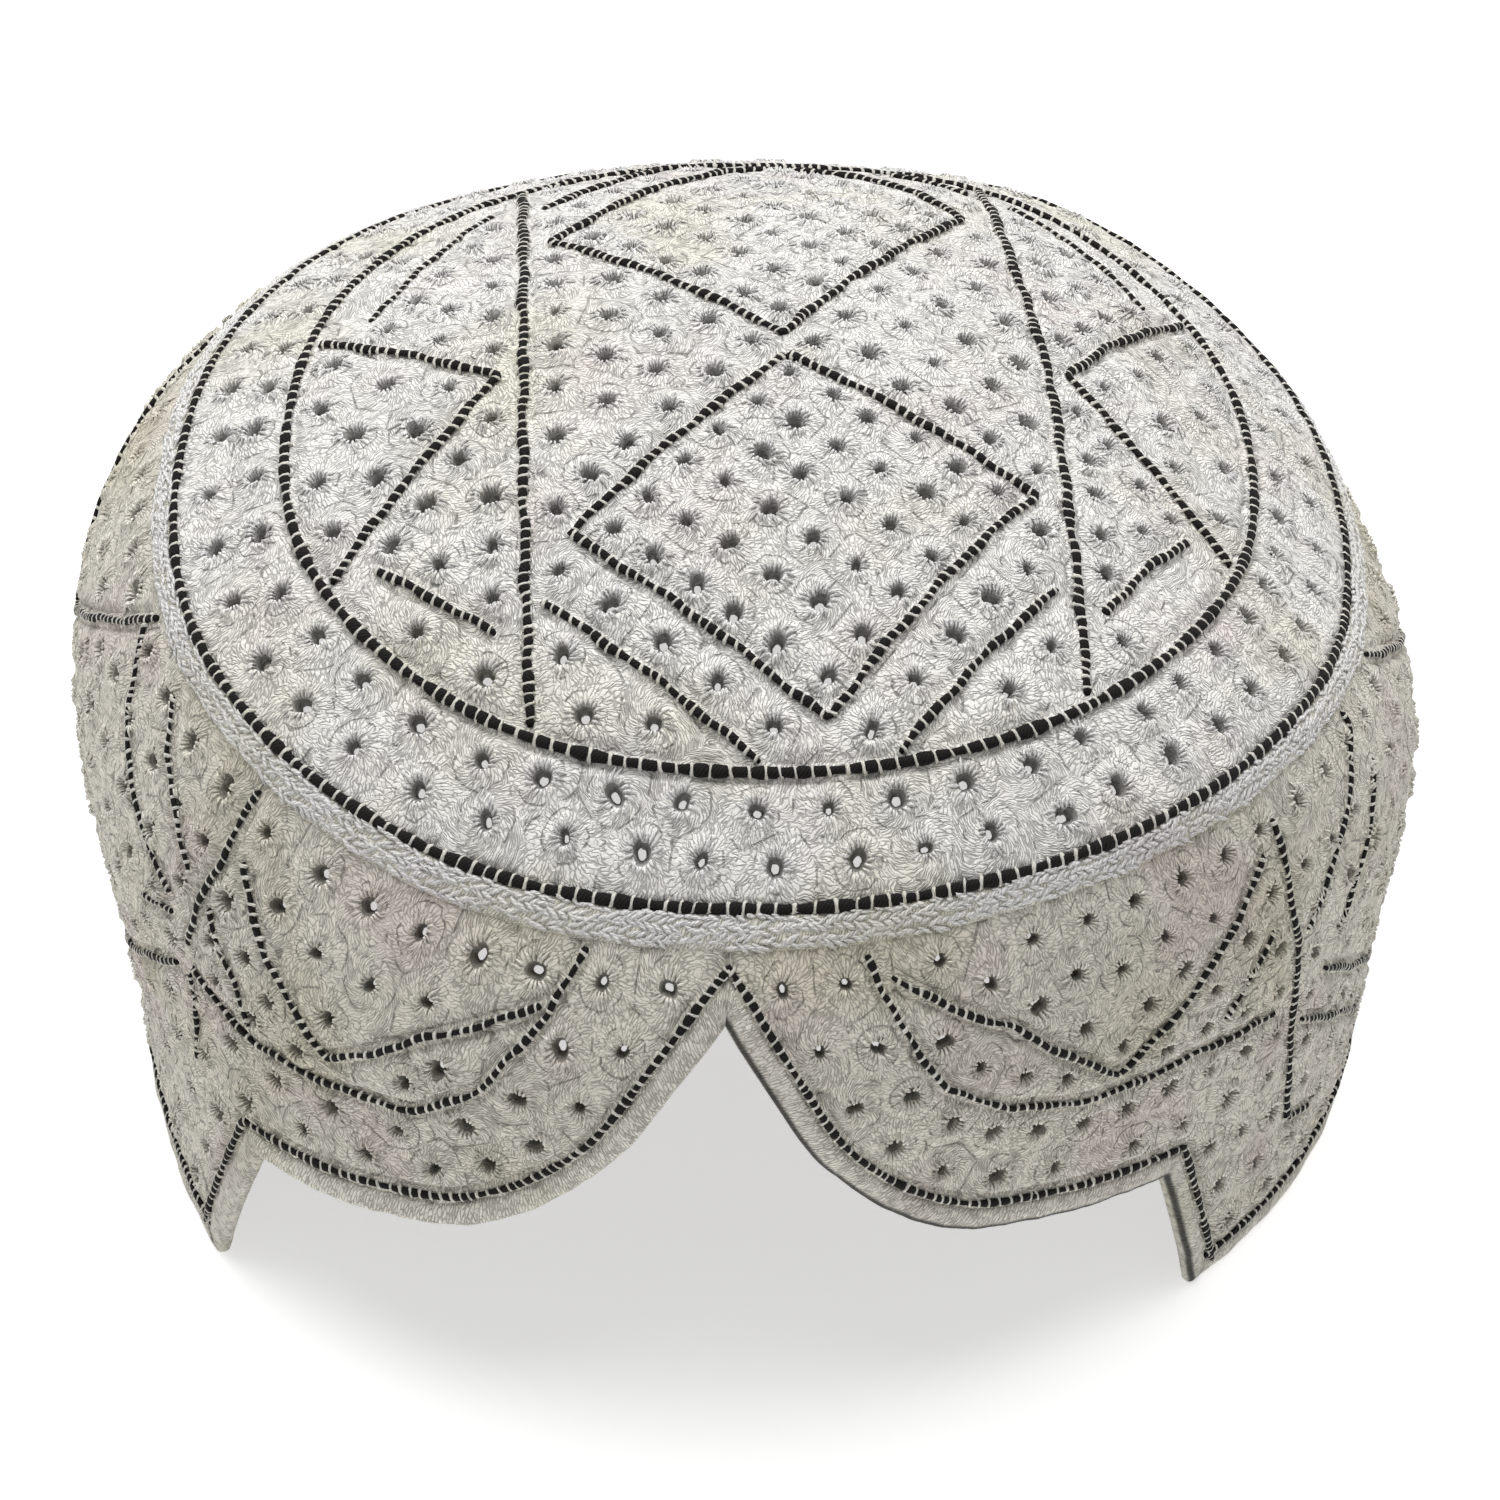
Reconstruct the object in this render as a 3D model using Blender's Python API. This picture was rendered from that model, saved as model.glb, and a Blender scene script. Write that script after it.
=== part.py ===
# Sindhi cap: a stitched cloth cap with a round crown and a deep side band, cut open over the forehead.
#
# Metres, +Z up. The cap stands on its hem at z = 0 and faces -Y. Sizes below are in millimetres.
# An azimuth is in degrees from the front and grows towards +X. A place on the crown is its plan (x, y)
# from the crown's middle, and a place on the side band is an azimuth and a height over the hem.

import math

import bpy
import numpy as np
from mathutils import Vector
from mathutils.geometry import delaunay_2d_cdt

MM = 0.001
INSIDE_TRIANGLES = 1      # the kind of triangulation that keeps what lies inside the outline
MERGE_DISTANCE = 1e-6

# Form of the cap at every twelfth of a turn
FORM_COLUMNS = ("ring_radius", "ring_height", "belly_radius", "hem_radius")
FORM_ROWS = (
    (77.5, 77.5, 94.0, 104.5),
    (79.0, 81.0, 90.5, 96.5),
    (79.0, 78.5, 91.5, 94.0),
    (80.0, 71.5, 93.5, 90.5),
    (83.0, 72.5, 92.0, 88.5),
    (81.0, 78.0, 91.5, 91.5),
    (78.5, 76.5, 94.0, 95.0),
    (79.5, 77.0, 97.0, 94.5),
    (78.5, 83.0, 97.5, 89.0),
    (79.5, 87.0, 96.5, 85.5),
    (84.0, 82.5, 97.0, 94.0),
    (81.5, 77.5, 97.5, 107.0),
)
CROWN_BASE = 78.5         # height of the mean ring
DOME_RISE = 27.0          # rise of the crown's middle over the mean ring
DOME_ROUNDNESS = 0.92
BELLY_DEPTH = 0.41        # share of the band's depth between the ring and the belly
MIDDLE_X = 1.82           # the crown's middle seen from the middle of the footprint
MIDDLE_Y = -0.81

# Cloth
WALL = 2.0                # two layers of cloth, quilted and stitched over
GAP = 0.3                 # clearance between neighbouring pieces
CROWN_EDGE = 0.999        # share of the ring radius that the crown's panel reaches
BAND_TOP_DROP = 0.6       # the band starts this far under the ring
CROWN_EDGE_POINTS = 72

# Forehead cut-out: hem height along each lobe, from the notch to the corner of the lobe
NOTCH_AZIMUTH = -1.5
CORNER_AZIMUTH = 38.8
TIP_AZIMUTH = 42.8
LOBE_COLUMNS = ("share_of_lobe", "hem_height")
LOBE_ROWS = (
    (0.00, 66.0),
    (0.10, 57.5),
    (0.20, 47.0),
    (0.30, 39.5),
    (0.45, 32.5),
    (0.70, 28.0),
    (1.00, 24.8),
)
LOBE_STEPS = 13
LOBE_CROWDING = 1.3       # draws the steps closer together near the notch
CORNER_STEPS = 3          # down the edge from a lobe's corner to the tip
REAR_HEM_STEPS = 52       # round the sides and back, from tip to tip
UNROLL = math.radians(1.0) * 94.0   # millimetres of hem in one degree

# Rolled hem: its section, as depth along the band and offset from the band's outer face
HEM_ROLL_WIDTH = 3.2
HEM_ROLL_SECTION = (
    (0.0, 0.0), (0.0, -2.0), (0.8, -2.5), (2.4, -2.5),
    (HEM_ROLL_WIDTH, -1.8), (HEM_ROLL_WIDTH, -0.1), (2.4, 0.5), (0.8, 0.5),
)

FLAT_TOLERANCE = 0.05     # the roll's underside is flat where the cap stands

# Seam of chain stitches under the ring: its section, as drop under the ring and offset
SEAM_SECTION = ((1.05, GAP), (1.3, 1.0), (2.3, 1.1), (3.4, 0.85), (3.8, GAP), (2.4, GAP))
SEAM_STEPS = 72

# Black and white cords, couched on the cloth
RING_CORD_WIDTH = 1.7
RING_CORD_HEIGHT = 1.3
CROWN_CORD_WIDTH = 1.6
CROWN_CORD_HEIGHT = 1.1
BAND_CORD_WIDTH = 1.2
BAND_CORD_HEIGHT = 0.9
OUTER_RING_DROP = 0.15    # from the ring down to the outer ring cord
INNER_RING = 0.82         # share of the ring radius
OUTER_RING_STEPS = 72
INNER_RING_STEPS = 60
HEM_CORD_INSET = HEM_ROLL_WIDTH + GAP + 0.8
CORD_TOP = 0.55           # width of a cord's top, as a share of its foot
CORD_STEP = 8.0
MITRE_LIMIT = 2.2         # the most that a corner widens a cord's section
HEM_MITRE_LIMIT = 1.4

# Figures on the crown: corners in plan, and which ends run out to the inner ring
CROWN_FIGURES = {
    "chord_cord_left": ((-38.5, 51.0), (-35.0, 3.5), (-32.6, -28.0), (-29.6, -59.0)),
    "chord_cord_right": ((28.0, 60.0), (32.1, 26.5), (36.1, 5.2), (38.7, -22.8), (41.4, -48.5)),
    "triangle_cord_left": ((-60.8, 7.2), (-37.6, -6.0), (-55.5, -36.4)),
    "triangle_cord_right": ((55.3, 34.2), (44.4, 16.6), (39.3, 6.3), (60.8, -17.7)),
    "corner_cord_front_left": ((-29.2, -42.6), (0.0, -62.8)),
    "corner_cord_front_right": ((37.2, -34.5), (17.5, -60.2)),
    "corner_cord_back_left": ((-35.0, 41.2), (-24.5, 54.5), (-19.5, 61.0)),
    "corner_cord_back_right": ((25.6, 55.4), (14.5, 62.0)),
    "side_cord_front_left": ((-51.2, -36.2), (-34.6, -46.6)),
    "side_cord_front_right": ((55.2, -17.6), (49.9, -25.1), (43.4, -36.0)),
    "side_cord_back_left": ((-56.4, 10.4), (-51.2, 22.6), (-45.1, 35.3), (-42.0, 41.0)),
    "side_cord_back_right": ((51.0, 33.2), (44.7, 42.1), (36.2, 49.8), (31.6, 53.8)),
}
ENDS_ON_RING = {
    "chord_cord_left": (True, True),
    "chord_cord_right": (True, True),
    "triangle_cord_left": (True, True),
    "triangle_cord_right": (True, True),
    "corner_cord_front_left": (False, True),
    "corner_cord_front_right": (False, True),
    "corner_cord_back_left": (False, True),
    "corner_cord_back_right": (False, True),
}
RHOMBUS_FRONT = ((0.3, -2.2), (-26.2, -33.5), (8.3, -57.0), (33.9, -20.6))
RHOMBUS_BACK = (
    (-0.2, 2.2), (24.5, 41.5), (18.5, 50.2), (10.0, 57.5),
    (-1.0, 61.0), (-10.0, 57.5), (-21.0, 45.5), (-32.7, 27.2),
)
RHOMBUS_BACK_MAIN = (RHOMBUS_BACK[0], RHOMBUS_BACK[1], RHOMBUS_BACK[4], RHOMBUS_BACK[7])

# Figures on the side band: azimuth and height of their corners
BAND_FIGURES = {
    "petal_cord_right": ((13.5, 70.0), (23.0, 62.5), (33.0, 49.0), (39.2, 55.4), (44.2, 61.5), (51.0, 69.0)),
    "petal_cord_left": ((-18.5, 64.5), (-25.0, 58.5), (-33.0, 49.0), (-40.0, 58.0), (-45.2, 67.0)),
    "arc_cord_right": (
        (11.0, 71.5), (13.0, 66.0), (17.0, 56.0), (23.0, 50.0),
        (31.0, 46.0), (42.0, 45.2), (51.8, 41.8),
    ),
    "arc_cord_left": (
        (-14.0, 70.5), (-16.0, 65.0), (-20.0, 54.0), (-25.0, 47.0),
        (-32.0, 44.8), (-40.5, 43.0), (-45.2, 44.6), (-48.4, 46.4),
    ),
    "stem_cord_right": ((53.3, 72.0), (53.1, 58.0), (54.3, 46.0), (54.6, 31.0), (54.9, 17.5)),
    "stem_cord_left": ((-46.8, 75.0), (-47.2, 65.0), (-48.2, 57.0), (-48.9, 49.6)),
    "wave_cord": (
        (59.5, 40.5), (79.0, 15.0), (100.5, 41.0), (122.0, 13.0), (143.5, 41.0), (165.0, 13.0), (186.5, 41.0),
        (208.0, 13.0), (229.5, 41.0), (251.0, 13.0), (270.0, 43.0), (289.0, 17.0), (309.5, 44.0),
    ),
}
# Petals that hang from the seam to the tops of the wave: azimuth and height of their lowest point
SIDE_PETALS = ((100.5, 47.0), (143.5, 47.0), (186.5, 48.0), (229.5, 50.0), (272.5, 54.0))
PETAL_SPREAD = 20.0       # from the middle of a petal to its ends under the seam
SEAM_MARGIN = 6.0         # from the ring down to the highest place of a band cord

# Eyelets cut through the cloth
EYELET_RADIUS = 1.7
EYELET_SIDES = 6
RHOMBUS_EYELETS = 4       # in each row and column
RING_EYELETS = 36
RING_EYELET_ROW = 0.899
BAND_EYELET_STEP = 12.0
BAND_EYELET_START = 6.0
UPPER_BAND_ROW = 20.0     # under the ring
LOWER_BAND_ROW = 26.0     # over the hem
LOWER_ROW_MARGINS = (8.0, 4.0)   # from the tips to the first and last eyelet of the lower row

# Spacing of the cloth's free points between its edges and eyelets
CROWN_GRID = 12.0
BAND_GRID = 13.0
GRID_ROW_STEP = 0.87      # of the step along a row
CROWN_GRID_REACH = 0.8    # share of the ring radius
POINT_CLEARANCE = 4.5     # from a free point to an eyelet's middle or an edge

CLOTH = (0.62, 0.61, 0.58)
SEAM_THREAD = (0.68, 0.68, 0.66)
HEM_CLOTH = (0.55, 0.54, 0.49)
CORD_BLACK = (0.02, 0.019, 0.018)


def smooth_form(azimuth):
    """FORM_COLUMNS at an azimuth, each on a smooth closed curve through its rows."""
    rows = np.array(FORM_ROWS)
    count = len(rows)
    place = (np.asarray(azimuth, dtype=float) * count / 360.0) % count
    index = np.floor(place).astype(int) % count
    s = (place - np.floor(place))[..., None]
    before, start, end, after = (rows[(index + shift) % count] for shift in (-1, 0, 1, 2))
    curve = (
        2.0 * start
        + (end - before) * s
        + (2.0 * before - 5.0 * start + 4.0 * end - after) * s**2
        + (3.0 * start - before - 3.0 * end + after) * s**3
    )
    return dict(zip(FORM_COLUMNS, np.moveaxis(0.5 * curve, -1, 0)))


def ring_radius(azimuth):
    return smooth_form(azimuth)["ring_radius"]


def ring_height(azimuth):
    return smooth_form(azimuth)["ring_height"]


def smooth_lobe(share):
    """Hem height on a smooth curve through LOBE_ROWS."""
    lobe = dict(zip(LOBE_COLUMNS, np.array(LOBE_ROWS).T))
    shares, heights = lobe["share_of_lobe"], lobe["hem_height"]
    slopes = np.gradient(heights, shares)
    index = np.clip(np.searchsorted(shares, share, side="right") - 1, 0, len(shares) - 2)
    width = shares[index + 1] - shares[index]
    s = (share - shares[index]) / width
    return (
        (1 + 2 * s) * (1 - s) ** 2 * heights[index]
        + s * (1 - s) ** 2 * width * slopes[index]
        + s**2 * (3 - 2 * s) * heights[index + 1]
        + s**2 * (s - 1) * width * slopes[index + 1]
    )


def azimuth_of(x, y):
    return np.degrees(np.arctan2(x, -y))


def on_circle(azimuth, radius):
    """Plan of a point at an azimuth and a radius."""
    turn = np.radians(azimuth)
    return np.stack([radius * np.sin(turn), -radius * np.cos(turn)], axis=-1)


def crown_height(x, y):
    """Height of the crown over the hem at a place in plan."""
    form = smooth_form(azimuth_of(x, y))
    square = np.minimum((x**2 + y**2) / form["ring_radius"] ** 2, 0.9999)
    tilt = (form["ring_height"] - CROWN_BASE) * square
    return CROWN_BASE + tilt + DOME_RISE * (1.0 - square) ** DOME_ROUNDNESS


def band_radius(azimuth, height):
    """Radius of the side band: it swells from the ring to the belly, then leans to the hem."""
    form = smooth_form(azimuth)
    ring, belly, hem = form["ring_radius"], form["belly_radius"], form["hem_radius"]
    depth = (form["ring_height"] - height) / form["ring_height"]
    swell = ring + (belly - ring) * (1.0 - (1.0 - depth / BELLY_DEPTH) ** 2)
    lean = np.clip((depth - BELLY_DEPTH) / (1.0 - BELLY_DEPTH), 0.0, 1.0)
    below = belly + (hem - belly) * lean**2 * (3.0 - 2.0 * lean)
    return np.where(depth < BELLY_DEPTH, swell, below)


def unit(vectors):
    return vectors / np.linalg.norm(vectors, axis=-1, keepdims=True)


def crown_frame(x, y):
    """Points on the crown's outer face and the normals there."""
    x, y = np.asarray(x, dtype=float), np.asarray(y, dtype=float)
    reach = 0.25
    slope_x = (crown_height(x + reach, y) - crown_height(x - reach, y)) / (2 * reach)
    slope_y = (crown_height(x, y + reach) - crown_height(x, y - reach)) / (2 * reach)
    points = np.stack([x, y, crown_height(x, y)], axis=-1)
    return points, unit(np.stack([-slope_x, -slope_y, np.ones_like(x)], axis=-1))


def band_place(azimuth, height):
    plan = on_circle(azimuth, band_radius(azimuth, height))
    return np.concatenate([plan, height[..., None]], axis=-1)


def band_frame(azimuth, height):
    """Points on the side band's outer face and the normals there."""
    azimuth, height = np.broadcast_arrays(np.array(azimuth, dtype=float), np.array(height, dtype=float))
    turn, rise = 0.3, 0.25
    around = band_place(azimuth + turn, height) - band_place(azimuth - turn, height)
    upward = band_place(azimuth, height + rise) - band_place(azimuth, height - rise)
    return band_place(azimuth, height), unit(np.cross(around, upward))


def cloth_material(name, colour, roughness):
    material = bpy.data.materials.new(name)
    material.use_nodes = True
    shader = material.node_tree.nodes["Principled BSDF"]
    shader.inputs["Base Color"].default_value = (*colour, 1.0)
    shader.inputs["Roughness"].default_value = roughness
    shader.inputs["Metallic"].default_value = 0.0
    return material


def add_object(name, points, faces, colour, roughness=0.85):
    """Puts points, in millimetres from the crown's middle axis, into an object of its own."""
    shift = np.array([MIDDLE_X, MIDDLE_Y, 0.0])
    mesh = bpy.data.meshes.new(name)
    places = (np.asarray(points) + shift) * MM
    mesh.from_pydata(places.tolist(), [], [tuple(map(int, face)) for face in faces])
    mesh.materials.append(cloth_material(name, colour, roughness))
    mesh.shade_smooth()
    mesh.set_sharp_from_angle(angle=math.radians(40.0))
    mesh.update()
    cap_piece = bpy.data.objects.new(name, mesh)
    bpy.context.collection.objects.link(cap_piece)
    return cap_piece


def eyelet_rim(middle):
    """Corners of an eyelet around its middle."""
    turn = np.arange(EYELET_SIDES) * 2 * np.pi / EYELET_SIDES
    return np.array(middle) + EYELET_RADIUS * np.stack([np.cos(turn), np.sin(turn)], axis=-1)


def triangulate(outline, rims, free_points):
    """Flat triangles on an outline with its eyelets, as points and counter-clockwise faces."""
    points = list(outline)
    edges = [(i, (i + 1) % len(outline)) for i in range(len(outline))]
    for rim in rims:
        start = len(points)
        points.extend(rim)
        edges.extend((start + i, start + (i + 1) % len(rim)) for i in range(len(rim)))
    points.extend(free_points)
    corners = [Vector(point) for point in points]
    cut_points, _, cut_faces, _, _, _ = delaunay_2d_cdt(corners, edges, [], INSIDE_TRIANGLES, MERGE_DISTANCE)
    flat = np.array([tuple(point) for point in cut_points])
    faces = np.array(cut_faces)
    middles = flat[faces].mean(axis=1)
    open_cloth = np.ones(len(faces), dtype=bool)
    for rim in rims:
        from_eyelet = np.linalg.norm(middles - rim.mean(axis=0), axis=1)
        open_cloth &= from_eyelet > EYELET_RADIUS * math.cos(math.pi / EYELET_SIDES)
    faces = faces[open_cloth]
    corner = flat[faces]
    area = np.cross(corner[:, 1] - corner[:, 0], corner[:, 2] - corner[:, 0])
    faces[area < 0] = faces[area < 0][:, ::-1]
    return flat, faces


def thicken(outer, inner, faces):
    """Closes two matching skins into one wall, with a rim at every free edge."""
    count = len(outer)
    sides = np.concatenate([faces[:, [0, 1]], faces[:, [1, 2]], faces[:, [2, 0]]])
    known = {(int(a), int(b)) for a, b in sides}
    rim = [(b, a, a + count, b + count) for a, b in known if (b, a) not in known]
    rim.sort()
    return np.concatenate([outer, inner]), [*faces.tolist(), *(faces[:, ::-1] + count).tolist(), *rim]


def clear_of(points, others, distance):
    """Those of the points that lie at least a distance from all others."""
    gaps = np.linalg.norm(points[:, None, :] - others[None, :, :], axis=-1)
    return points[gaps.min(axis=1) > distance]


def offset_grid(low, high, step):
    """Points in offset rows over a rectangle."""
    rows = np.arange(low[1] + step / 2, high[1], step * GRID_ROW_STEP)
    columns = np.arange(low[0] + step / 2, high[0], step)
    return np.array([(x + (step / 2 if i % 2 else 0.0), y) for i, y in enumerate(rows) for x in columns])


def rhombus_eyelets(corners):
    """Middles of the eyelets in a rhombus, in rows along its sides."""
    near, left, far, right = (np.array(corner) for corner in corners)
    shares = (np.arange(RHOMBUS_EYELETS) + 0.5) / RHOMBUS_EYELETS
    return [
        (1 - u) * (1 - v) * near + u * (1 - v) * left + u * v * far + (1 - u) * v * right
        for u in shares
        for v in shares
    ]


def build_crown_panel():
    edge_azimuths = np.arange(CROWN_EDGE_POINTS) * 360.0 / CROWN_EDGE_POINTS
    ring_azimuths = (np.arange(RING_EYELETS) + 0.5) * 360.0 / RING_EYELETS
    outline = on_circle(edge_azimuths, CROWN_EDGE * ring_radius(edge_azimuths))
    ring_row = on_circle(ring_azimuths, RING_EYELET_ROW * ring_radius(ring_azimuths))
    middles = np.vstack([rhombus_eyelets(RHOMBUS_FRONT), rhombus_eyelets(RHOMBUS_BACK_MAIN), ring_row])
    rims = [eyelet_rim(middle) for middle in middles]
    half = np.abs(outline).max()
    grid = offset_grid((-half, -half), (half, half), CROWN_GRID)
    reach = CROWN_GRID_REACH * ring_radius(azimuth_of(grid[:, 0], grid[:, 1]))
    grid = grid[np.linalg.norm(grid, axis=1) < reach]
    free_points = clear_of(grid, middles, POINT_CLEARANCE)
    flat, faces = triangulate(outline, rims, free_points)
    points, normals = crown_frame(flat[:, 0], flat[:, 1])
    points, faces = thicken(points, points - WALL * normals, faces)
    return add_object("crown_panel", points, faces, CLOTH)


def hem_line():
    """Azimuth and height of the hem, from the notch over the forehead once round to the notch."""
    shares = (np.arange(LOBE_STEPS + 1) / LOBE_STEPS) ** LOBE_CROWDING
    right_span = CORNER_AZIMUTH - NOTCH_AZIMUTH
    left_span = CORNER_AZIMUTH + NOTCH_AZIMUTH
    right = np.stack([NOTCH_AZIMUTH + right_span * shares, smooth_lobe(shares)], axis=-1)
    left = np.stack([360.0 + NOTCH_AZIMUTH - left_span * shares, smooth_lobe(shares)], axis=-1)
    rear_azimuths = np.linspace(TIP_AZIMUTH, 360.0 - TIP_AZIMUTH, REAR_HEM_STEPS + 1)
    rear = np.stack([rear_azimuths, np.zeros_like(rear_azimuths)], axis=-1)
    drop = (np.arange(1, CORNER_STEPS) / CORNER_STEPS)[:, None]
    right_drop = right[-1] + (rear[0] - right[-1]) * drop
    left_rise = rear[-1] + (left[-1] - rear[-1]) * drop
    return np.concatenate([right, right_drop, rear, left_rise, left[::-1][:-1]])


def unrolled(line):
    return line * np.array([UNROLL, 1.0])


def inset(line, depth):
    """A closed line of the unrolled band moved into the cloth, with mitred corners."""
    wrapped = np.vstack([line[-1] - (360.0 * UNROLL, 0.0), line, line[0] + (360.0 * UNROLL, 0.0)])
    along = unit(np.diff(wrapped, axis=0))
    across = np.stack([-along[:, 1], along[:, 0]], axis=-1)
    middle = unit(across[:-1] + across[1:])
    mitre = 1.0 / np.maximum((middle * across[1:]).sum(axis=-1, keepdims=True), 1.0 / HEM_MITRE_LIMIT)
    return line + depth * mitre * middle


def band_outline():
    """Outline of the unrolled band: the hem's inner edge, then back along the ring."""
    lower = inset(unrolled(hem_line()), HEM_ROLL_WIDTH + GAP)
    start = lower[0]
    end = start + (360.0 * UNROLL, 0.0)
    azimuths = np.linspace(end[0], start[0], CROWN_EDGE_POINTS + 1) / UNROLL
    upper = np.stack([azimuths * UNROLL, ring_height(azimuths) - BAND_TOP_DROP], axis=-1)
    return np.concatenate([lower, [end], upper])


def band_eyelets():
    upper_azimuths = np.arange(BAND_EYELET_START, 360.0, BAND_EYELET_STEP)
    first = TIP_AZIMUTH + LOWER_ROW_MARGINS[0]
    last = 360.0 - TIP_AZIMUTH - LOWER_ROW_MARGINS[1]
    upper = [(azimuth, ring_height(azimuth) - UPPER_BAND_ROW) for azimuth in upper_azimuths]
    lower = [(azimuth, LOWER_BAND_ROW) for azimuth in np.arange(first, last, BAND_EYELET_STEP)]
    return np.array(upper + lower)


def build_side_band():
    outline = band_outline()
    middles = unrolled(band_eyelets())
    rims = [eyelet_rim(middle) for middle in middles]
    grid = offset_grid((outline[:, 0].min(), 0.0), outline.max(axis=0), BAND_GRID)
    grid = clear_of(grid, np.vstack([middles, outline]), POINT_CLEARANCE)
    heights = np.interp(grid[:, 0], *band_floor(outline))
    tops = ring_height(grid[:, 0] / UNROLL)
    grid = grid[(grid[:, 1] > heights + POINT_CLEARANCE) & (grid[:, 1] < tops - POINT_CLEARANCE)]
    flat, faces = triangulate(outline, rims, grid)
    flat, faces = close_round(flat, faces)
    points, normals = band_frame(flat[:, 0] / UNROLL, flat[:, 1])
    points, faces = thicken(points, points - WALL * normals, faces)
    return add_object("side_band", points, faces, CLOTH)


def band_floor(outline):
    """Lower edge of the unrolled band, as places and heights in rising order."""
    lower = outline[: len(hem_line()) + 1]
    order = np.argsort(lower[:, 0])
    return lower[order, 0], lower[order, 1]


def close_round(flat, faces):
    """Joins the two ends of the unrolled band, which lie one turn apart."""
    turn = 360.0 * UNROLL
    low = flat[:, 0].min()
    ends = np.flatnonzero(flat[:, 0] > low + turn - 0.01)
    starts = np.flatnonzero(flat[:, 0] < low + 0.01)
    joined = np.arange(len(flat))
    for end in ends:
        joined[end] = starts[np.argmin(np.abs(flat[starts, 1] - flat[end, 1]))]
    faces = joined[faces]
    used, packed = np.unique(faces, return_inverse=True)
    return flat[used], packed.reshape(faces.shape)


def build_loop(name, sections, colour):
    """A closed loop of solid through equal closed sections, given as an array loop, section, point."""
    count, sides, _ = sections.shape
    faces = []
    for i in range(count):
        for j in range(sides):
            k, m = (i + 1) % count, (j + 1) % sides
            faces.append((i * sides + j, i * sides + m, k * sides + m, k * sides + j))
    return add_object(name, sections.reshape(-1, 3), faces, colour)


def build_hem_binding():
    line = unrolled(hem_line())
    sections = []
    for depth, offset in HEM_ROLL_SECTION:
        place = inset(line, depth)
        points, normals = band_frame(place[:, 0] / UNROLL, np.maximum(place[:, 1], 0.0))
        sections.append(points + offset * normals)
    sections = np.stack(sections, axis=1)
    underside = sections[..., 2] < FLAT_TOLERANCE
    sections[..., 2][underside] = 0.0
    return build_loop("hem_binding", sections, HEM_CLOTH)


def build_crown_seam():
    azimuths = np.arange(SEAM_STEPS) * 360.0 / SEAM_STEPS
    sections = []
    for drop, offset in SEAM_SECTION:
        points, normals = band_frame(azimuths, ring_height(azimuths) - drop)
        sections.append(points + offset * normals)
    return build_loop("crown_seam", np.stack(sections, axis=1), SEAM_THREAD)


def cord_sections(points, normals, width, height, closed):
    """Four-sided sections of a cord laid on the cloth, mitred at its corners."""
    if closed:
        wrapped = np.vstack([points[-1], points, points[0]])
    else:
        wrapped = np.vstack([2 * points[0] - points[1], points, 2 * points[-1] - points[-2]])
    along = unit(np.diff(wrapped, axis=0))
    before, after = np.cross(normals, along[:-1]), np.cross(normals, along[1:])
    side = unit(before + after)
    mitre = 1.0 / np.maximum((side * unit(after)).sum(axis=-1, keepdims=True), 1.0 / MITRE_LIMIT)
    reach = side * mitre * width / 2
    low, high = points + GAP * normals, points + (GAP + height) * normals
    return np.stack([low - reach, low + reach, high + CORD_TOP * reach, high - CORD_TOP * reach], axis=1)


def build_cord(name, points, normals, width, height, closed=False):
    sections = cord_sections(points, normals, width, height, closed)
    if closed:
        return build_loop(name, sections, CORD_BLACK)
    count = len(sections)
    faces = [(3, 2, 1, 0), tuple((count - 1) * 4 + j for j in range(4))]
    for i in range(count - 1):
        for j in range(4):
            m = (j + 1) % 4
            faces.append((i * 4 + j, i * 4 + m, (i + 1) * 4 + m, (i + 1) * 4 + j))
    return add_object(name, sections.reshape(-1, 3), faces, CORD_BLACK)


def subdivide(corners, step, closed=False):
    """Points along straight runs between corners, at most a step apart."""
    corners = [np.array(corner, dtype=float) for corner in corners]
    if closed:
        corners.append(corners[0])
    line = []
    for start, end in zip(corners, corners[1:]):
        pieces = max(1, math.ceil(np.linalg.norm(end - start) / step))
        line.extend(start + (end - start) * i / pieces for i in range(pieces))
    if not closed:
        line.append(corners[-1])
    return np.array(line)


def onto_inner_ring(point):
    """The place beside the inner ring's cord in the direction of a point."""
    azimuth = azimuth_of(point[0], point[1])
    clearance = (RING_CORD_WIDTH + CROWN_CORD_WIDTH) / 2 + GAP
    return on_circle(azimuth, INNER_RING * ring_radius(azimuth) - clearance)


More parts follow.
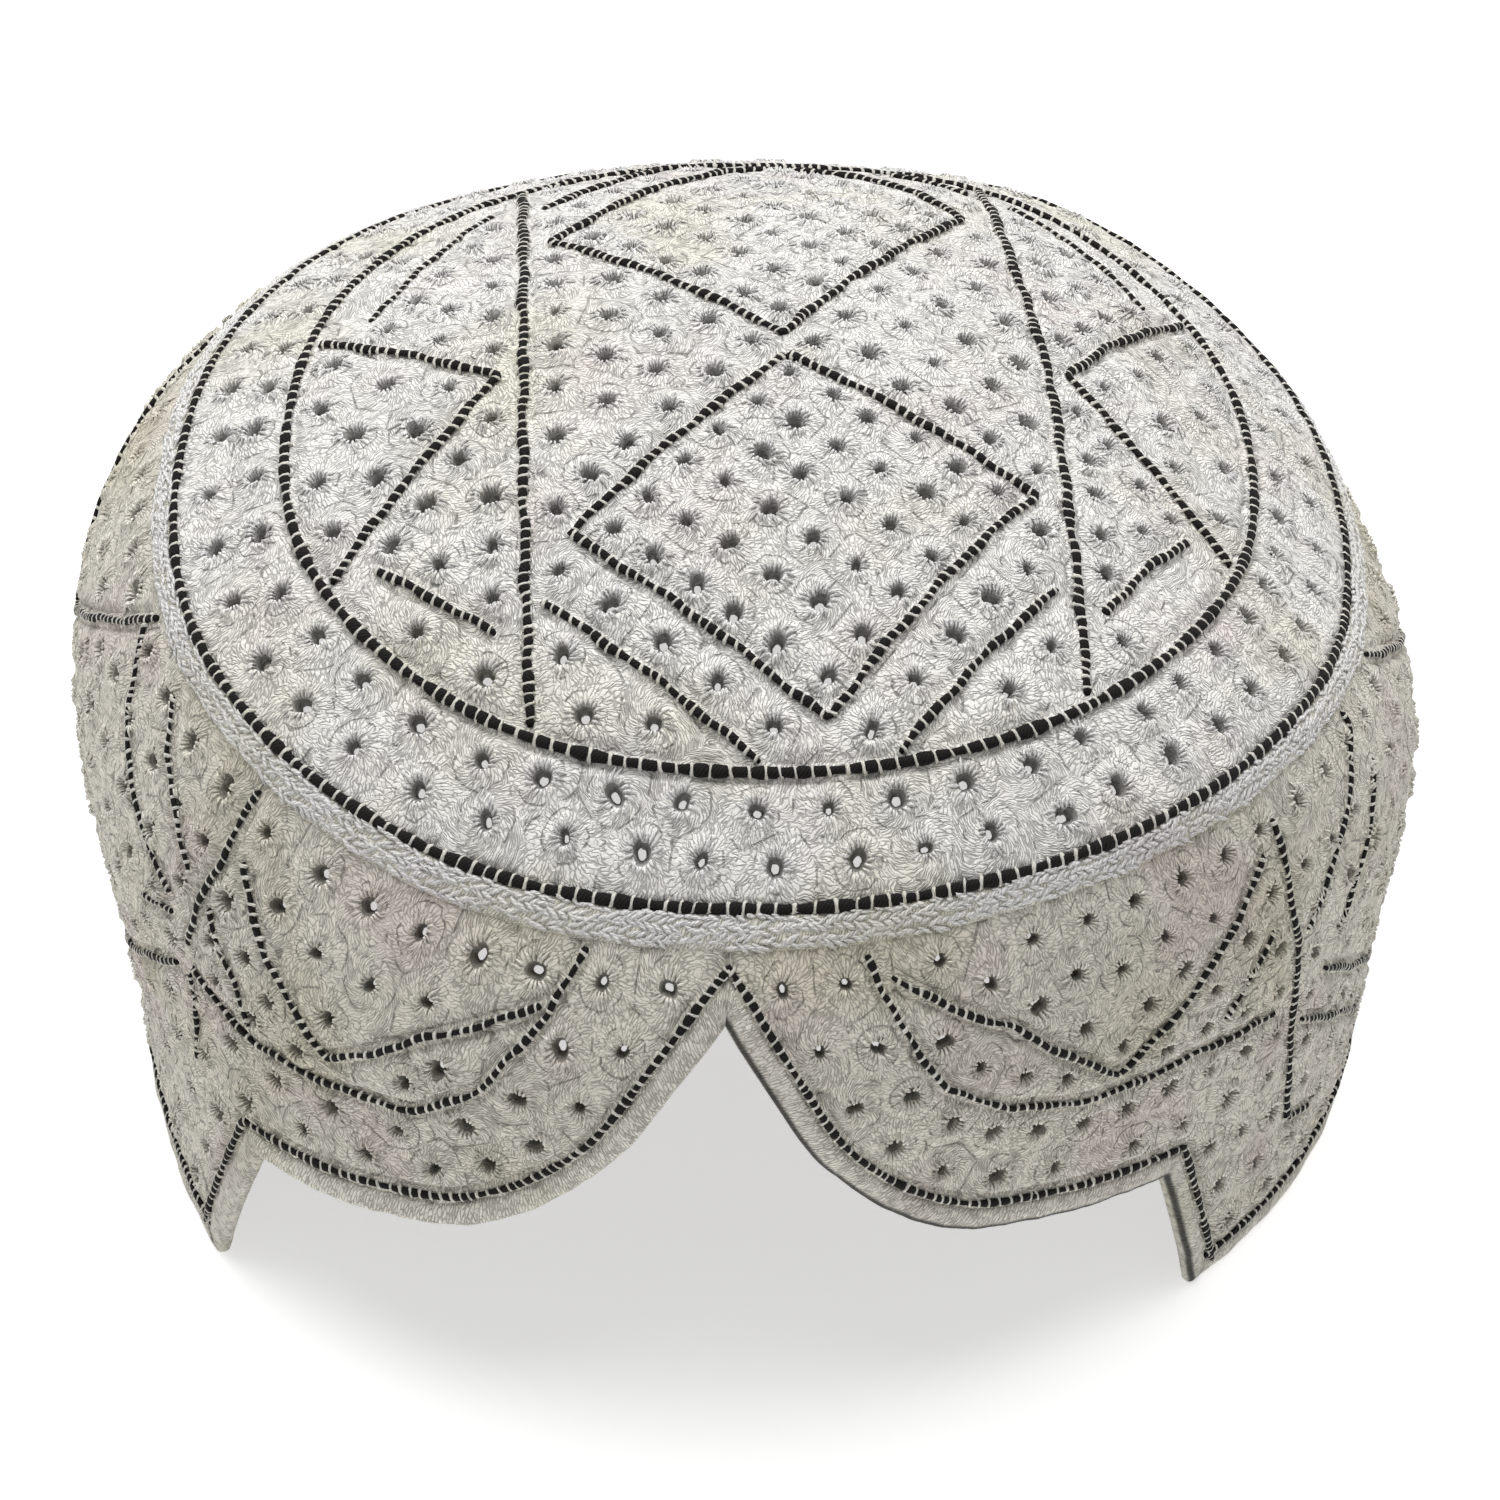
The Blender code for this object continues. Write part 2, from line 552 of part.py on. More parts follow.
def build_crown_cords():
    azimuths = np.arange(OUTER_RING_STEPS) * 360.0 / OUTER_RING_STEPS
    points, normals = band_frame(azimuths, ring_height(azimuths) - OUTER_RING_DROP)
    build_cord("outer_ring_cord", points, normals, RING_CORD_WIDTH, RING_CORD_HEIGHT, closed=True)
    azimuths = np.arange(INNER_RING_STEPS) * 360.0 / INNER_RING_STEPS
    line = on_circle(azimuths, INNER_RING * ring_radius(azimuths))
    points, normals = crown_frame(line[:, 0], line[:, 1])
    build_cord("inner_ring_cord", points, normals, RING_CORD_WIDTH, RING_CORD_HEIGHT, closed=True)
    for name, corners in (("rhombus_cord_front", RHOMBUS_FRONT), ("rhombus_cord_back", RHOMBUS_BACK)):
        line = subdivide(corners, CORD_STEP, closed=True)
        points, normals = crown_frame(line[:, 0], line[:, 1])
        build_cord(name, points, normals, CROWN_CORD_WIDTH, CROWN_CORD_HEIGHT, closed=True)
    for name, corners in CROWN_FIGURES.items():
        start_on_ring, end_on_ring = ENDS_ON_RING.get(name, (False, False))
        route = [np.array(corner) for corner in corners]
        if start_on_ring:
            route[0] = onto_inner_ring(route[0])
        if end_on_ring:
            route[-1] = onto_inner_ring(route[-1])
        line = subdivide(route, CORD_STEP)
        points, normals = crown_frame(line[:, 0], line[:, 1])
        build_cord(name, points, normals, CROWN_CORD_WIDTH, CROWN_CORD_HEIGHT)


def side_petals():
    """The petals round the sides and back, each from the seam down to its lowest point and up again."""
    figures = {}
    for i, (middle, bottom) in enumerate(SIDE_PETALS):
        start, end = middle - PETAL_SPREAD, middle + PETAL_SPREAD
        figures[f"petal_cord_side_{i + 1}"] = [
            (start, ring_height(start)), (middle, bottom), (end, ring_height(end)),
        ]
    return figures


def build_band_cords():
    line = inset(unrolled(hem_line()), HEM_CORD_INSET) / np.array([UNROLL, 1.0])
    points, normals = band_frame(line[:, 0], line[:, 1])
    build_cord("hem_cord", points, normals, BAND_CORD_WIDTH, BAND_CORD_HEIGHT, closed=True)
    for name, corners in {**BAND_FIGURES, **side_petals()}.items():
        route = [(azimuth, min(height, ring_height(azimuth) - SEAM_MARGIN)) for azimuth, height in corners]
        line = subdivide(unrolled(np.array(route)), CORD_STEP) / np.array([UNROLL, 1.0])
        points, normals = band_frame(line[:, 0], line[:, 1])
        build_cord(name, points, normals, BAND_CORD_WIDTH, BAND_CORD_HEIGHT)


def main():
    for old_object in list(bpy.data.objects):
        bpy.data.objects.remove(old_object)
    build_crown_panel()
    build_side_band()
    build_crown_seam()
    build_hem_binding()
    build_crown_cords()
    build_band_cords()


main()
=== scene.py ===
import math

import bpy
import numpy as np
from mathutils import Matrix, Vector
from mathutils.geometry import delaunay_2d_cdt


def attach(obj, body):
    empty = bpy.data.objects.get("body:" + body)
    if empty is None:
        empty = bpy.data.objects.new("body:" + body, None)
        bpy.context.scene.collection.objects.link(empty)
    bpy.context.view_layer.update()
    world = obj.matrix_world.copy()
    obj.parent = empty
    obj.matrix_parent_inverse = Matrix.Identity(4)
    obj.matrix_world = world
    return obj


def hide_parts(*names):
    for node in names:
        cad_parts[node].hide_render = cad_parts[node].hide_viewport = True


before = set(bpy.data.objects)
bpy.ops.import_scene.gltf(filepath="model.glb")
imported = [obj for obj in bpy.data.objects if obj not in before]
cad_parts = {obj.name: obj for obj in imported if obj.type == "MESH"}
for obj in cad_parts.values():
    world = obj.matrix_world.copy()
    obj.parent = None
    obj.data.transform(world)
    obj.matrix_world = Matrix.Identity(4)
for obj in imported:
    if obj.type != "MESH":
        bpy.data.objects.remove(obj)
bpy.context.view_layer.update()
print("frame loaded:", len(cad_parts), "nodes")

# Everything below is in millimetres from the middle of the crown, until a mesh is made.
# A place on the crown is its plan x, y. A place on the band is an azimuth from the front and a height,
# and unrolled it is (azimuth * unroll, height).

capForm = {
    "middle": (1.82, -0.81),  # the crown's middle, seen from the middle of the footprint
    # ring radius, ring height, belly radius and hem radius, at every twelfth of a turn from the front
    "rows": (
        (77.5, 77.5, 94.0, 104.5), (79.0, 81.0, 90.5, 96.5), (79.0, 78.5, 91.5, 94.0),
        (80.0, 71.5, 93.5, 90.5), (83.0, 72.5, 92.0, 88.5), (81.0, 78.0, 91.5, 91.5),
        (78.5, 76.5, 94.0, 95.0), (79.5, 77.0, 97.0, 94.5), (78.5, 83.0, 97.5, 89.0),
        (79.5, 87.0, 96.5, 85.5), (84.0, 82.5, 97.0, 94.0), (81.5, 77.5, 97.5, 107.0),
    ),
    "crownBase": 78.5,
    "domeRise": 27.0,
    "domeRoundness": 0.92,
    "bellyDepth": 0.41,  # share of the band's depth
    "unroll": math.radians(1.0) * 94.0,  # millimetres in one degree of the band
}
unroll = capForm["unroll"]
faceMark = 2  # added to the cloth's cell number on the inner face, and twice on a wall
rng = np.random.default_rng(11)


def formAt(azimuth):
    # the four columns of the form, each on a closed Catmull-Rom curve through its rows
    rows = np.array(capForm["rows"])
    count = len(rows)
    place = (np.asarray(azimuth, float) * count / 360.0) % count
    index = np.floor(place).astype(int) % count
    s = (place - np.floor(place))[..., None]
    p0, p1, p2, p3 = (rows[(index + k) % count] for k in (-1, 0, 1, 2))
    curve = 2 * p1 + (p2 - p0) * s + (2 * p0 - 5 * p1 + 4 * p2 - p3) * s**2
    curve += (3 * p1 - p0 - 3 * p2 + p3) * s**3
    return np.moveaxis(0.5 * curve, -1, 0)


def azimuthOf(plan):
    return np.degrees(np.arctan2(plan[..., 0], -plan[..., 1]))


def onCircle(azimuth, radius):
    turn = np.radians(azimuth)
    return np.stack([radius * np.sin(turn), -radius * np.cos(turn)], -1)


def crownHeight(plan):
    # base, plus the ring's tilt by the square of the share s, plus rise * (1 - s^2)^roundness
    ringRadius, ringHeight, _, _ = formAt(azimuthOf(plan))
    square = np.minimum((plan**2).sum(-1) / ringRadius**2, 0.9999)
    tilt = (ringHeight - capForm["crownBase"]) * square
    return capForm["crownBase"] + tilt + capForm["domeRise"] * (1 - square) ** capForm["domeRoundness"]


def unit(vectors):
    return vectors / np.maximum(np.linalg.norm(vectors, axis=-1, keepdims=True), 1e-12)


def runAlong(points):
    # distance from the first point to each point, along the line
    return np.concatenate([[0.0], np.cumsum(np.linalg.norm(np.diff(points, axis=0), axis=1))])


def spokesAt(angle):
    return np.stack([np.cos(angle), np.sin(angle)], -1)


def crownSurface(plan, lift=0.0):
    # the point over a plan place, moved along the normal by lift
    plan = np.asarray(plan, float)
    step = 0.25
    dx, dy = np.array([step, 0.0]), np.array([0.0, step])
    slopeX = (crownHeight(plan + dx) - crownHeight(plan - dx)) / (2 * step)
    slopeY = (crownHeight(plan + dy) - crownHeight(plan - dy)) / (2 * step)
    normal = unit(np.stack([-slopeX, -slopeY, np.ones_like(slopeX)], -1))
    point = np.concatenate([plan, crownHeight(plan)[..., None]], -1)
    return point + np.asarray(lift)[..., None] * normal, normal


def bandPoint(azimuth, height):
    # radius: ring to belly by a parabola, then belly to hem by a smooth step
    ring, top, belly, hem = formAt(azimuth)
    depth = (top - height) / top
    swell = ring + (belly - ring) * (1 - (1 - depth / capForm["bellyDepth"]) ** 2)
    lean = np.clip((depth - capForm["bellyDepth"]) / (1 - capForm["bellyDepth"]), 0, 1)
    below = belly + (hem - belly) * lean**2 * (3 - 2 * lean)
    radius = np.where(depth < capForm["bellyDepth"], swell, below)
    return np.concatenate([onCircle(azimuth, radius), height[..., None]], -1)


def bandSurface(flat, lift=0.0):
    # flat is the unrolled place; the normal is across the two finite differences
    flat = np.asarray(flat, float)
    azimuth, height = flat[..., 0] / unroll, flat[..., 1]
    around = bandPoint(azimuth + 0.3, height) - bandPoint(azimuth - 0.3, height)
    upward = bandPoint(azimuth, height + 0.25) - bandPoint(azimuth, height - 0.25)
    normal = unit(np.cross(around, upward))
    return bandPoint(azimuth, height) + np.asarray(lift)[..., None] * normal, normal


def ringHeight(azimuth):
    return formAt(azimuth)[1]


def signedVolume(points, faces):
    # six times the volume under the faces, by triangles fanned from each face's first corner
    first, volume = points[faces[:, 0]], 0.0
    for k in range(1, faces.shape[1] - 1):
        volume += (first * np.cross(points[faces[:, k]], points[faces[:, k + 1]])).sum()
    return volume


def makeMesh(name, points, faces, corners, material):
    # points (n, 3) in millimetres, faces (m, 3 or 4), corners {map name: (m, 3 or 4, 2)}; outward faces
    world = (np.asarray(points, float) + (*capForm["middle"], 0.0)) * 0.001
    faces = np.asarray(faces, np.int32)
    if signedVolume(world, faces) < 0:
        faces = faces[:, ::-1]
        corners = {mapName: values[:, ::-1] for mapName, values in corners.items()}
    mesh = bpy.data.meshes.new(name)
    mesh.vertices.add(len(world))
    mesh.vertices.foreach_set("co", world.astype(np.float32).ravel())
    mesh.loops.add(faces.size)
    mesh.loops.foreach_set("vertex_index", faces.ravel())
    mesh.polygons.add(len(faces))
    mesh.polygons.foreach_set("loop_start", np.arange(0, faces.size, faces.shape[1], dtype=np.int32))
    mesh.update(calc_edges=True)
    for mapName, values in corners.items():
        layer = mesh.uv_layers.new(name=mapName)
        layer.data.foreach_set("uv", np.asarray(values, np.float32).ravel())
    mesh.validate()
    mesh.shade_smooth()
    mesh.materials.append(material)
    piece = bpy.data.objects.new(name, mesh)
    bpy.context.collection.objects.link(piece)
    return piece


def dress(piece, slot, *nodes):
    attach(piece, "root")
    if nodes:
        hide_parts(*nodes)
    print(f"{piece.name}: {sum(len(p.vertices) - 2 for p in piece.data.polygons)} triangles")
    return piece


def linear(hexColour):
    # sRGB hex to linear red, green, blue and alpha
    value = np.array([int(hexColour[k:k + 2], 16) / 255 for k in (1, 3, 5)])
    value = np.where(value <= 0.04045, value / 12.92, ((value + 0.055) / 1.055) ** 2.4)
    return (*value.tolist(), 1.0)


def addNode(tree, kind, inputs, output=0, **settings):
    # one node with its settings, its inputs linked or set; gives back the output asked for
    node = tree.nodes.new("ShaderNode" + kind)
    for key, value in settings.items():
        setattr(node, key, value)
    for key, value in inputs.items():
        if isinstance(value, bpy.types.NodeSocket):
            tree.links.new(value, node.inputs[key])
        else:
            node.inputs[key].default_value = value
    return node.outputs[output]


def maths(tree, operation, *values):
    return addNode(tree, "Math", dict(enumerate(values)), operation=operation)


def smoothRange(tree, *values):
    # value, from low, from high, to low, to high
    return addNode(tree, "MapRange", dict(enumerate(values)), interpolation_type="SMOOTHSTEP")


def newMaterial(name, roughness, sheen=0.0):
    material = bpy.data.materials.new(name)
    material.use_nodes = True
    shader = material.node_tree.nodes["Principled BSDF"]
    shader.inputs["Roughness"].default_value = roughness
    shader.inputs["Sheen Weight"].default_value = sheen
    shader.inputs["Specular IOR Level"].default_value = 0.25
    return material, material.node_tree, shader


def polarStrokes(tree, look, wobble):
    # strokes that stand round an eyelet like spokes, in rows
    # stitch map: turns, and millimetres from the eyelet's middle
    # cell map: the eyelet's own number, and the signed distance to the border with the next eyelet
    place = addNode(tree, "SeparateXYZ", {0: addNode(tree, "UVMap", {}, uv_map="stitch")})
    radius = place.node.outputs["Y"]
    cell = addNode(tree, "SeparateXYZ", {0: addNode(tree, "UVMap", {}, uv_map="cell")})
    lean = maths(tree, "MULTIPLY_ADD", cell, 2 * look["swirl"], -0.55 * look["swirl"])
    turns = maths(tree, "MULTIPLY_ADD", radius, lean, place)
    turns = maths(tree, "MULTIPLY_ADD", wobble, look["wobbleTurns"], turns)
    ragged = maths(tree, "MULTIPLY_ADD", wobble, look["raggedMm"], radius)
    count, row = look["rows"][0][1], None
    for index, (start, strokes) in enumerate(look["rows"][1:]):
        beyond = maths(tree, "GREATER_THAN", ragged, start)
        more = strokes - look["rows"][index][1]
        count = maths(tree, "MULTIPLY_ADD", beyond, more, count)
        row = beyond if row is None else maths(tree, "ADD", row, beyond)
    across = maths(tree, "MULTIPLY", turns, count)
    # each row and each eyelet starts its strokes at a place of its own
    rowStart = maths(tree, "MULTIPLY", row, look["rowStart"])
    lane = maths(tree, "MULTIPLY_ADD", cell, look["cellStart"], rowStart)
    along = maths(tree, "MULTIPLY_ADD", radius, 1 / look["strokeLength"], lane)
    # thin dark lines: along part of the border between two eyelets' cells, and of a ring round the eyelet
    border = maths(tree, "ABSOLUTE", cell.node.outputs["Y"])
    ringRadius = maths(tree, "MULTIPLY_ADD", cell, look["ringSpread"], look["ringRadius"])
    fromRing = maths(tree, "SUBTRACT", ragged, ringRadius)
    fromRing = maths(tree, "ABSOLUTE", fromRing)
    light = 1.0
    for distance, start, end in ((border, 0.0, 0.07), (fromRing, 0.0, -0.07)):
        line = smoothRange(tree, distance, 0.05, look["lineMm"])
        gone = addNode(tree, "MapRange", {0: wobble, 1: start, 2: end, 3: 1.0, 4: 0.0})
        line = maths(tree, "MAXIMUM", line, gone)
        light = maths(tree, "MULTIPLY", line, light)
    # gaps open wider away from the smooth lip; the back of the cloth and the eyelets' walls are darkened by
    # painted shade
    openness = addNode(tree, "MapRange", {0: radius, 1: 1.5, 2: 2.7, 3: 0.3, 4: 1.0})
    paintedInsideShade = 1.0
    for mark, share in ((faceMark - 0.5, look["insideShade"]), (2 * faceMark - 0.5, look["wallShade"])):
        beyond = maths(tree, "GREATER_THAN", cell, mark)
        shaded = maths(tree, "MULTIPLY_ADD", beyond, share - 1, 1.0)
        paintedInsideShade = maths(tree, "MULTIPLY", shaded, paintedInsideShade)
    return addNode(tree, "CombineXYZ", {0: across, 1: along}), light, openness, paintedInsideShade


def straightStrokes(tree, look, wobble):
    # strokes side by side along v, with a thin dark line at one v; u and v are millimetres
    place = addNode(tree, "SeparateXYZ", {0: addNode(tree, "UVMap", {}, uv_map="stitch")})
    v = place.node.outputs["Y"]
    across = maths(tree, "MULTIPLY_ADD", place, 1 / look["strokeWidth"], wobble)
    slanted = maths(tree, "MULTIPLY_ADD", v, look["slant"] / look["strokeWidth"], across)
    along = maths(tree, "MULTIPLY", v, 1 / look["strokeLength"])
    fromLine = maths(tree, "SUBTRACT", v, look["lineAt"])
    fromLine = maths(tree, "ABSOLUTE", fromLine)
    light = smoothRange(tree, fromLine, 0.05, look["lineMm"])
    return addNode(tree, "CombineXYZ", {0: slanted, 1: along}), light, 1.0, 1.0


def stitchedCotton(name, look):
    # white cotton thread laid as short strokes side by side, matt and a little fuzzy: bright flat backs,
    # thin gaps darkened by painted shade that open here and there, and faint pink and yellow patches from
    # washing
    material, tree, shader = newMaterial(name, 0.9, sheen=0.1)
    place = addNode(tree, "TexCoord", {}, "Object")
    wander = addNode(tree, "TexNoise", {"Vector": place, "Scale": 1000 / look["wanderMm"], "Detail": 3.0})
    wobble = maths(tree, "SUBTRACT", wander, 0.5)
    layStrokes = polarStrokes if "rows" in look else straightStrokes
    vector, light, openness, paintedInsideShade = layStrokes(tree, look, wobble)
    laid = {"Vector": vector, "Scale": 1.0, "Randomness": look["randomness"]}
    edge = addNode(tree, "TexVoronoi", laid, feature="DISTANCE_TO_EDGE", voronoi_dimensions="2D")
    own = addNode(tree, "TexVoronoi", laid, 1, feature="F1", voronoi_dimensions="2D")
    stroke = addNode(tree, "SeparateColor", {0: own})
    fibres = {"Vector": place, "Scale": 1000 / look["fuzzMm"], "Detail": 3.0, "Roughness": 0.7}
    fuzz = addNode(tree, "TexNoise", fibres)
    # a gap is as wide as the speck noise opens it
    specks = addNode(tree, "TexNoise", {"Vector": place, "Scale": 1000 / look["speckMm"], "Detail": 2.0})
    speck = addNode(tree, "MapRange", {0: specks, 1: 0.42, 2: 0.66, 3: 0.0, 4: look["speckWidth"]})
    speck = maths(tree, "MULTIPLY", speck, openness)
    gap = maths(tree, "SUBTRACT", edge, speck)
    back = smoothRange(tree, gap, -0.1, 0.22)
    # height: the stroke's flat back, its own height, the fibres, and the thin line pressed in
    height = maths(tree, "MULTIPLY_ADD", stroke, 0.6, back)
    height = maths(tree, "MULTIPLY_ADD", fuzz, look["fuzzHeight"], height)
    height = maths(tree, "MULTIPLY_ADD", light, 1.1, height)
    relief = {"Height": height, "Strength": look["bump"], "Distance": look["reliefMm"] * 0.001}
    bump = addNode(tree, "Bump", relief)
    tree.links.new(bump, shader.inputs["Normal"])
    # colour: the thread with two faint patch tints, then a random tone stroke by stroke, painted shade in the
    # gaps, in the fibres' hollows and inside the eyelets, and a darker thin line, which at the hem's fold is
    # painted shade
    colour = linear(look["thread"])
    for tint, patchMm in (("pinkPatch", 17.0), ("yellowPatch", 24.0)):
        patch = addNode(tree, "TexNoise", {"Vector": place, "Scale": 1000 / patchMm, "Detail": 2.0})
        share = smoothRange(tree, patch, 0.5, 0.74)
        colour = addNode(tree, "Mix", {0: share, 6: colour, 7: linear(look[tint])}, 2, data_type="RGBA")
    spread = look["strokeVariation"]
    shade = maths(tree, "MULTIPLY_ADD", stroke.node.outputs[1], spread, 1 - spread / 2)
    # painted shade: the back of the cloth and the eyelets' walls are darker
    shade = maths(tree, "MULTIPLY", shade, paintedInsideShade)
    shades = ((gap, -0.04, 0.09, "gapShade"), (fuzz, 0.32, 0.48, "speckShade"),
              (light, 0.0, 1.0, "lineShade"))
    for value, low, high, darkest in shades:
        dark = smoothRange(tree, value, low, high, look[darkest], 1.0)
        shade = maths(tree, "MULTIPLY", shade, dark)
    grey = addNode(tree, "CombineColor", {0: shade, 1: shade, 2: shade})
    colour = addNode(tree, "Mix", {0: 1.0, 6: colour, 7: grey}, 2, data_type="RGBA", blend_type="MULTIPLY")
    tree.links.new(colour, shader.inputs["Base Color"])
    return material


def cordCotton(name, look):
    # dyed black cotton cord, loosely twisted and matt: almost no highlight, only the twist shows
    material, tree, shader = newMaterial(name, 0.85)
    place = addNode(tree, "UVMap", {}, uv_map="stitch")
    twist = addNode(tree, "TexWave", {"Vector": place, "Scale": look["twistsPerMm"], "Distortion": 2.0}, 1,
                    bands_direction="DIAGONAL")
    bump = addNode(tree, "Bump", {"Height": twist, "Strength": 0.8, "Distance": look["reliefMm"] * 0.001})
    tree.links.new(bump, shader.inputs["Normal"])
    # painted shade: the colour follows the twist's bump, darker in its grooves
    colour = addNode(tree, "Mix", {0: twist, 6: linear(look["dark"]), 7: linear(look["light"])}, 2,
                     data_type="RGBA")
    tree.links.new(colour, shader.inputs["Base Color"])
    return material


# small threads have short strokes and no pressed, painted-shade line
smallThread = {
    "wanderMm": 4.0, "fuzzMm": 0.3, "strokeWidth": 0.3, "bump": 0.8, "fuzzHeight": 0.8,
    "speckShade": 0.82, "speckMm": 1.0, "speckWidth": 0.1, "lineAt": -9.0, "lineMm": 0.1, "lineShade": 1.0,
}
threadLooks = {
    # rows: where each row of spokes starts, in mm from the eyelet's middle, and how many spokes stand in it
    "buttonholeStitchedCotton": {
        "thread": "#f6f4ef", "pinkPatch": "#f0e8e4", "yellowPatch": "#eeebdd", "wanderMm": 3.2,
        "fuzzMm": 0.35, "rows": ((0.0, 22.0), (2.1, 38.0), (3.4, 54.0), (5.0, 74.0)), "rowStart": 7.3,
        "cellStart": 61.0, "swirl": 0.04, "wobbleTurns": 0.1, "raggedMm": 2.4, "strokeLength": 1.35,
        "randomness": 1.0, "bump": 0.88, "reliefMm": 0.2, "fuzzHeight": 1.0, "strokeVariation": 0.14,
        "gapShade": 0.58, "speckShade": 0.84, "speckMm": 1.5, "speckWidth": 0.16,
        "ringRadius": 2.5, "ringSpread": 0.9, "lineMm": 0.17, "lineShade": 0.55, "insideShade": 0.7,
        "wallShade": 0.8,
    },
    "overcastCottonEdge": {
        "thread": "#ece8dc", "pinkPatch": "#e4dcd3", "yellowPatch": "#e2ddcb", "wanderMm": 2.2,
        "fuzzMm": 0.35, "strokeWidth": 0.42, "strokeLength": 1.3, "slant": 0.35, "randomness": 1.0,
        "bump": 0.9, "reliefMm": 0.2, "fuzzHeight": 1.1, "strokeVariation": 0.18, "gapShade": 0.6,
        # lineAt, lineMm and lineShade: painted shade along the fold of the rolled edge
        "speckShade": 0.8, "speckMm": 1.5, "speckWidth": 0.18, "lineAt": 3.4, "lineMm": 1.0,
        "lineShade": 0.1,
    },
    "whiteChainThread": {
        **smallThread, "thread": "#f1f0ee", "pinkPatch": "#ebe6e6", "yellowPatch": "#eae8e0",
        "strokeLength": 1.6, "slant": 0.5, "randomness": 0.9, "reliefMm": 0.12,
        "strokeVariation": 0.18, "gapShade": 0.7,
    },
    "whiteTyingThread": {
        **smallThread, "thread": "#e8e5dc", "pinkPatch": "#e1dcd5", "yellowPatch": "#dfdbcd",
        "strokeLength": 1.8, "slant": 0.15, "randomness": 0.7, "reliefMm": 0.1,
        "strokeVariation": 0.2, "gapShade": 0.75,
    },
}
# the band's thread is yellower, and darker than the crown's: painted shade for the band's steep sides
yellowedAndShaded = {"thread": "#ebe6d9", "pinkPatch": "#e4d9d1", "yellowPatch": "#e1dbc7"}
lightlyYellowed = {"thread": "#f5f1e6", "pinkPatch": "#efe6de", "yellowPatch": "#ece7d5"}
threadLooks["wornButtonholeStitchedCotton"] = {**threadLooks["buttonholeStitchedCotton"], **yellowedAndShaded}
threadLooks["wornButtonholeThread"] = {**threadLooks["whiteChainThread"], **lightlyYellowed}
whiteStitches, edgeStitches, seamThread, tieThread, yellowedShadedStitches, wornThread = (
    stitchedCotton(*item) for item in threadLooks.items())
blackCord = cordCotton("dyedBlackCottonCord", {"dark": "#0b0a09", "light": "#1d1b19", "twistsPerMm": 1.1,
                                               "reliefMm": 0.08})
print("materials made")

# camera at the photograph's angle; the picture is 1500 x 1500
cameraPlace = {
    "elevation": 44.06, "azimuth": -0.62, "roll": 4.04, "distance": 600.0,
    "slideRight": 3.17, "slideUp": 34.84, "aim": (1.82, -0.81, 78.52),
    "focalPixels": 4365.0, "picture": 1500.0,
}


def placeCamera(place):
    e, a, roll = (math.radians(place[k]) for k in ("elevation", "azimuth", "roll"))
    back = Vector((math.sin(a) * math.cos(e), -math.cos(a) * math.cos(e), math.sin(e)))
    right = Vector((math.cos(a), math.sin(a), 0.0))
    up = back.cross(right)
    turnedRight = right * math.cos(roll) + up * math.sin(roll)
    turnedUp = up * math.cos(roll) - right * math.sin(roll)
    spot = back * place["distance"] - turnedRight * place["slideRight"] - turnedUp * place["slideUp"]
    spot = (spot + Vector(place["aim"])) * 0.001
    data = bpy.data.cameras.new("photoCamera")
    data.sensor_width = 36.0
    data.lens = place["focalPixels"] / place["picture"] * data.sensor_width
    data.clip_start, data.clip_end = 0.05, 20.0
    camera = bpy.data.objects.new("photoCamera", data)
    axes = Matrix((turnedRight, turnedUp, back)).transposed()
    camera.matrix_world = Matrix.Translation(spot) @ axes.to_4x4()
    bpy.context.collection.objects.link(camera)
    bpy.context.scene.camera = camera


placeCamera(cameraPlace)

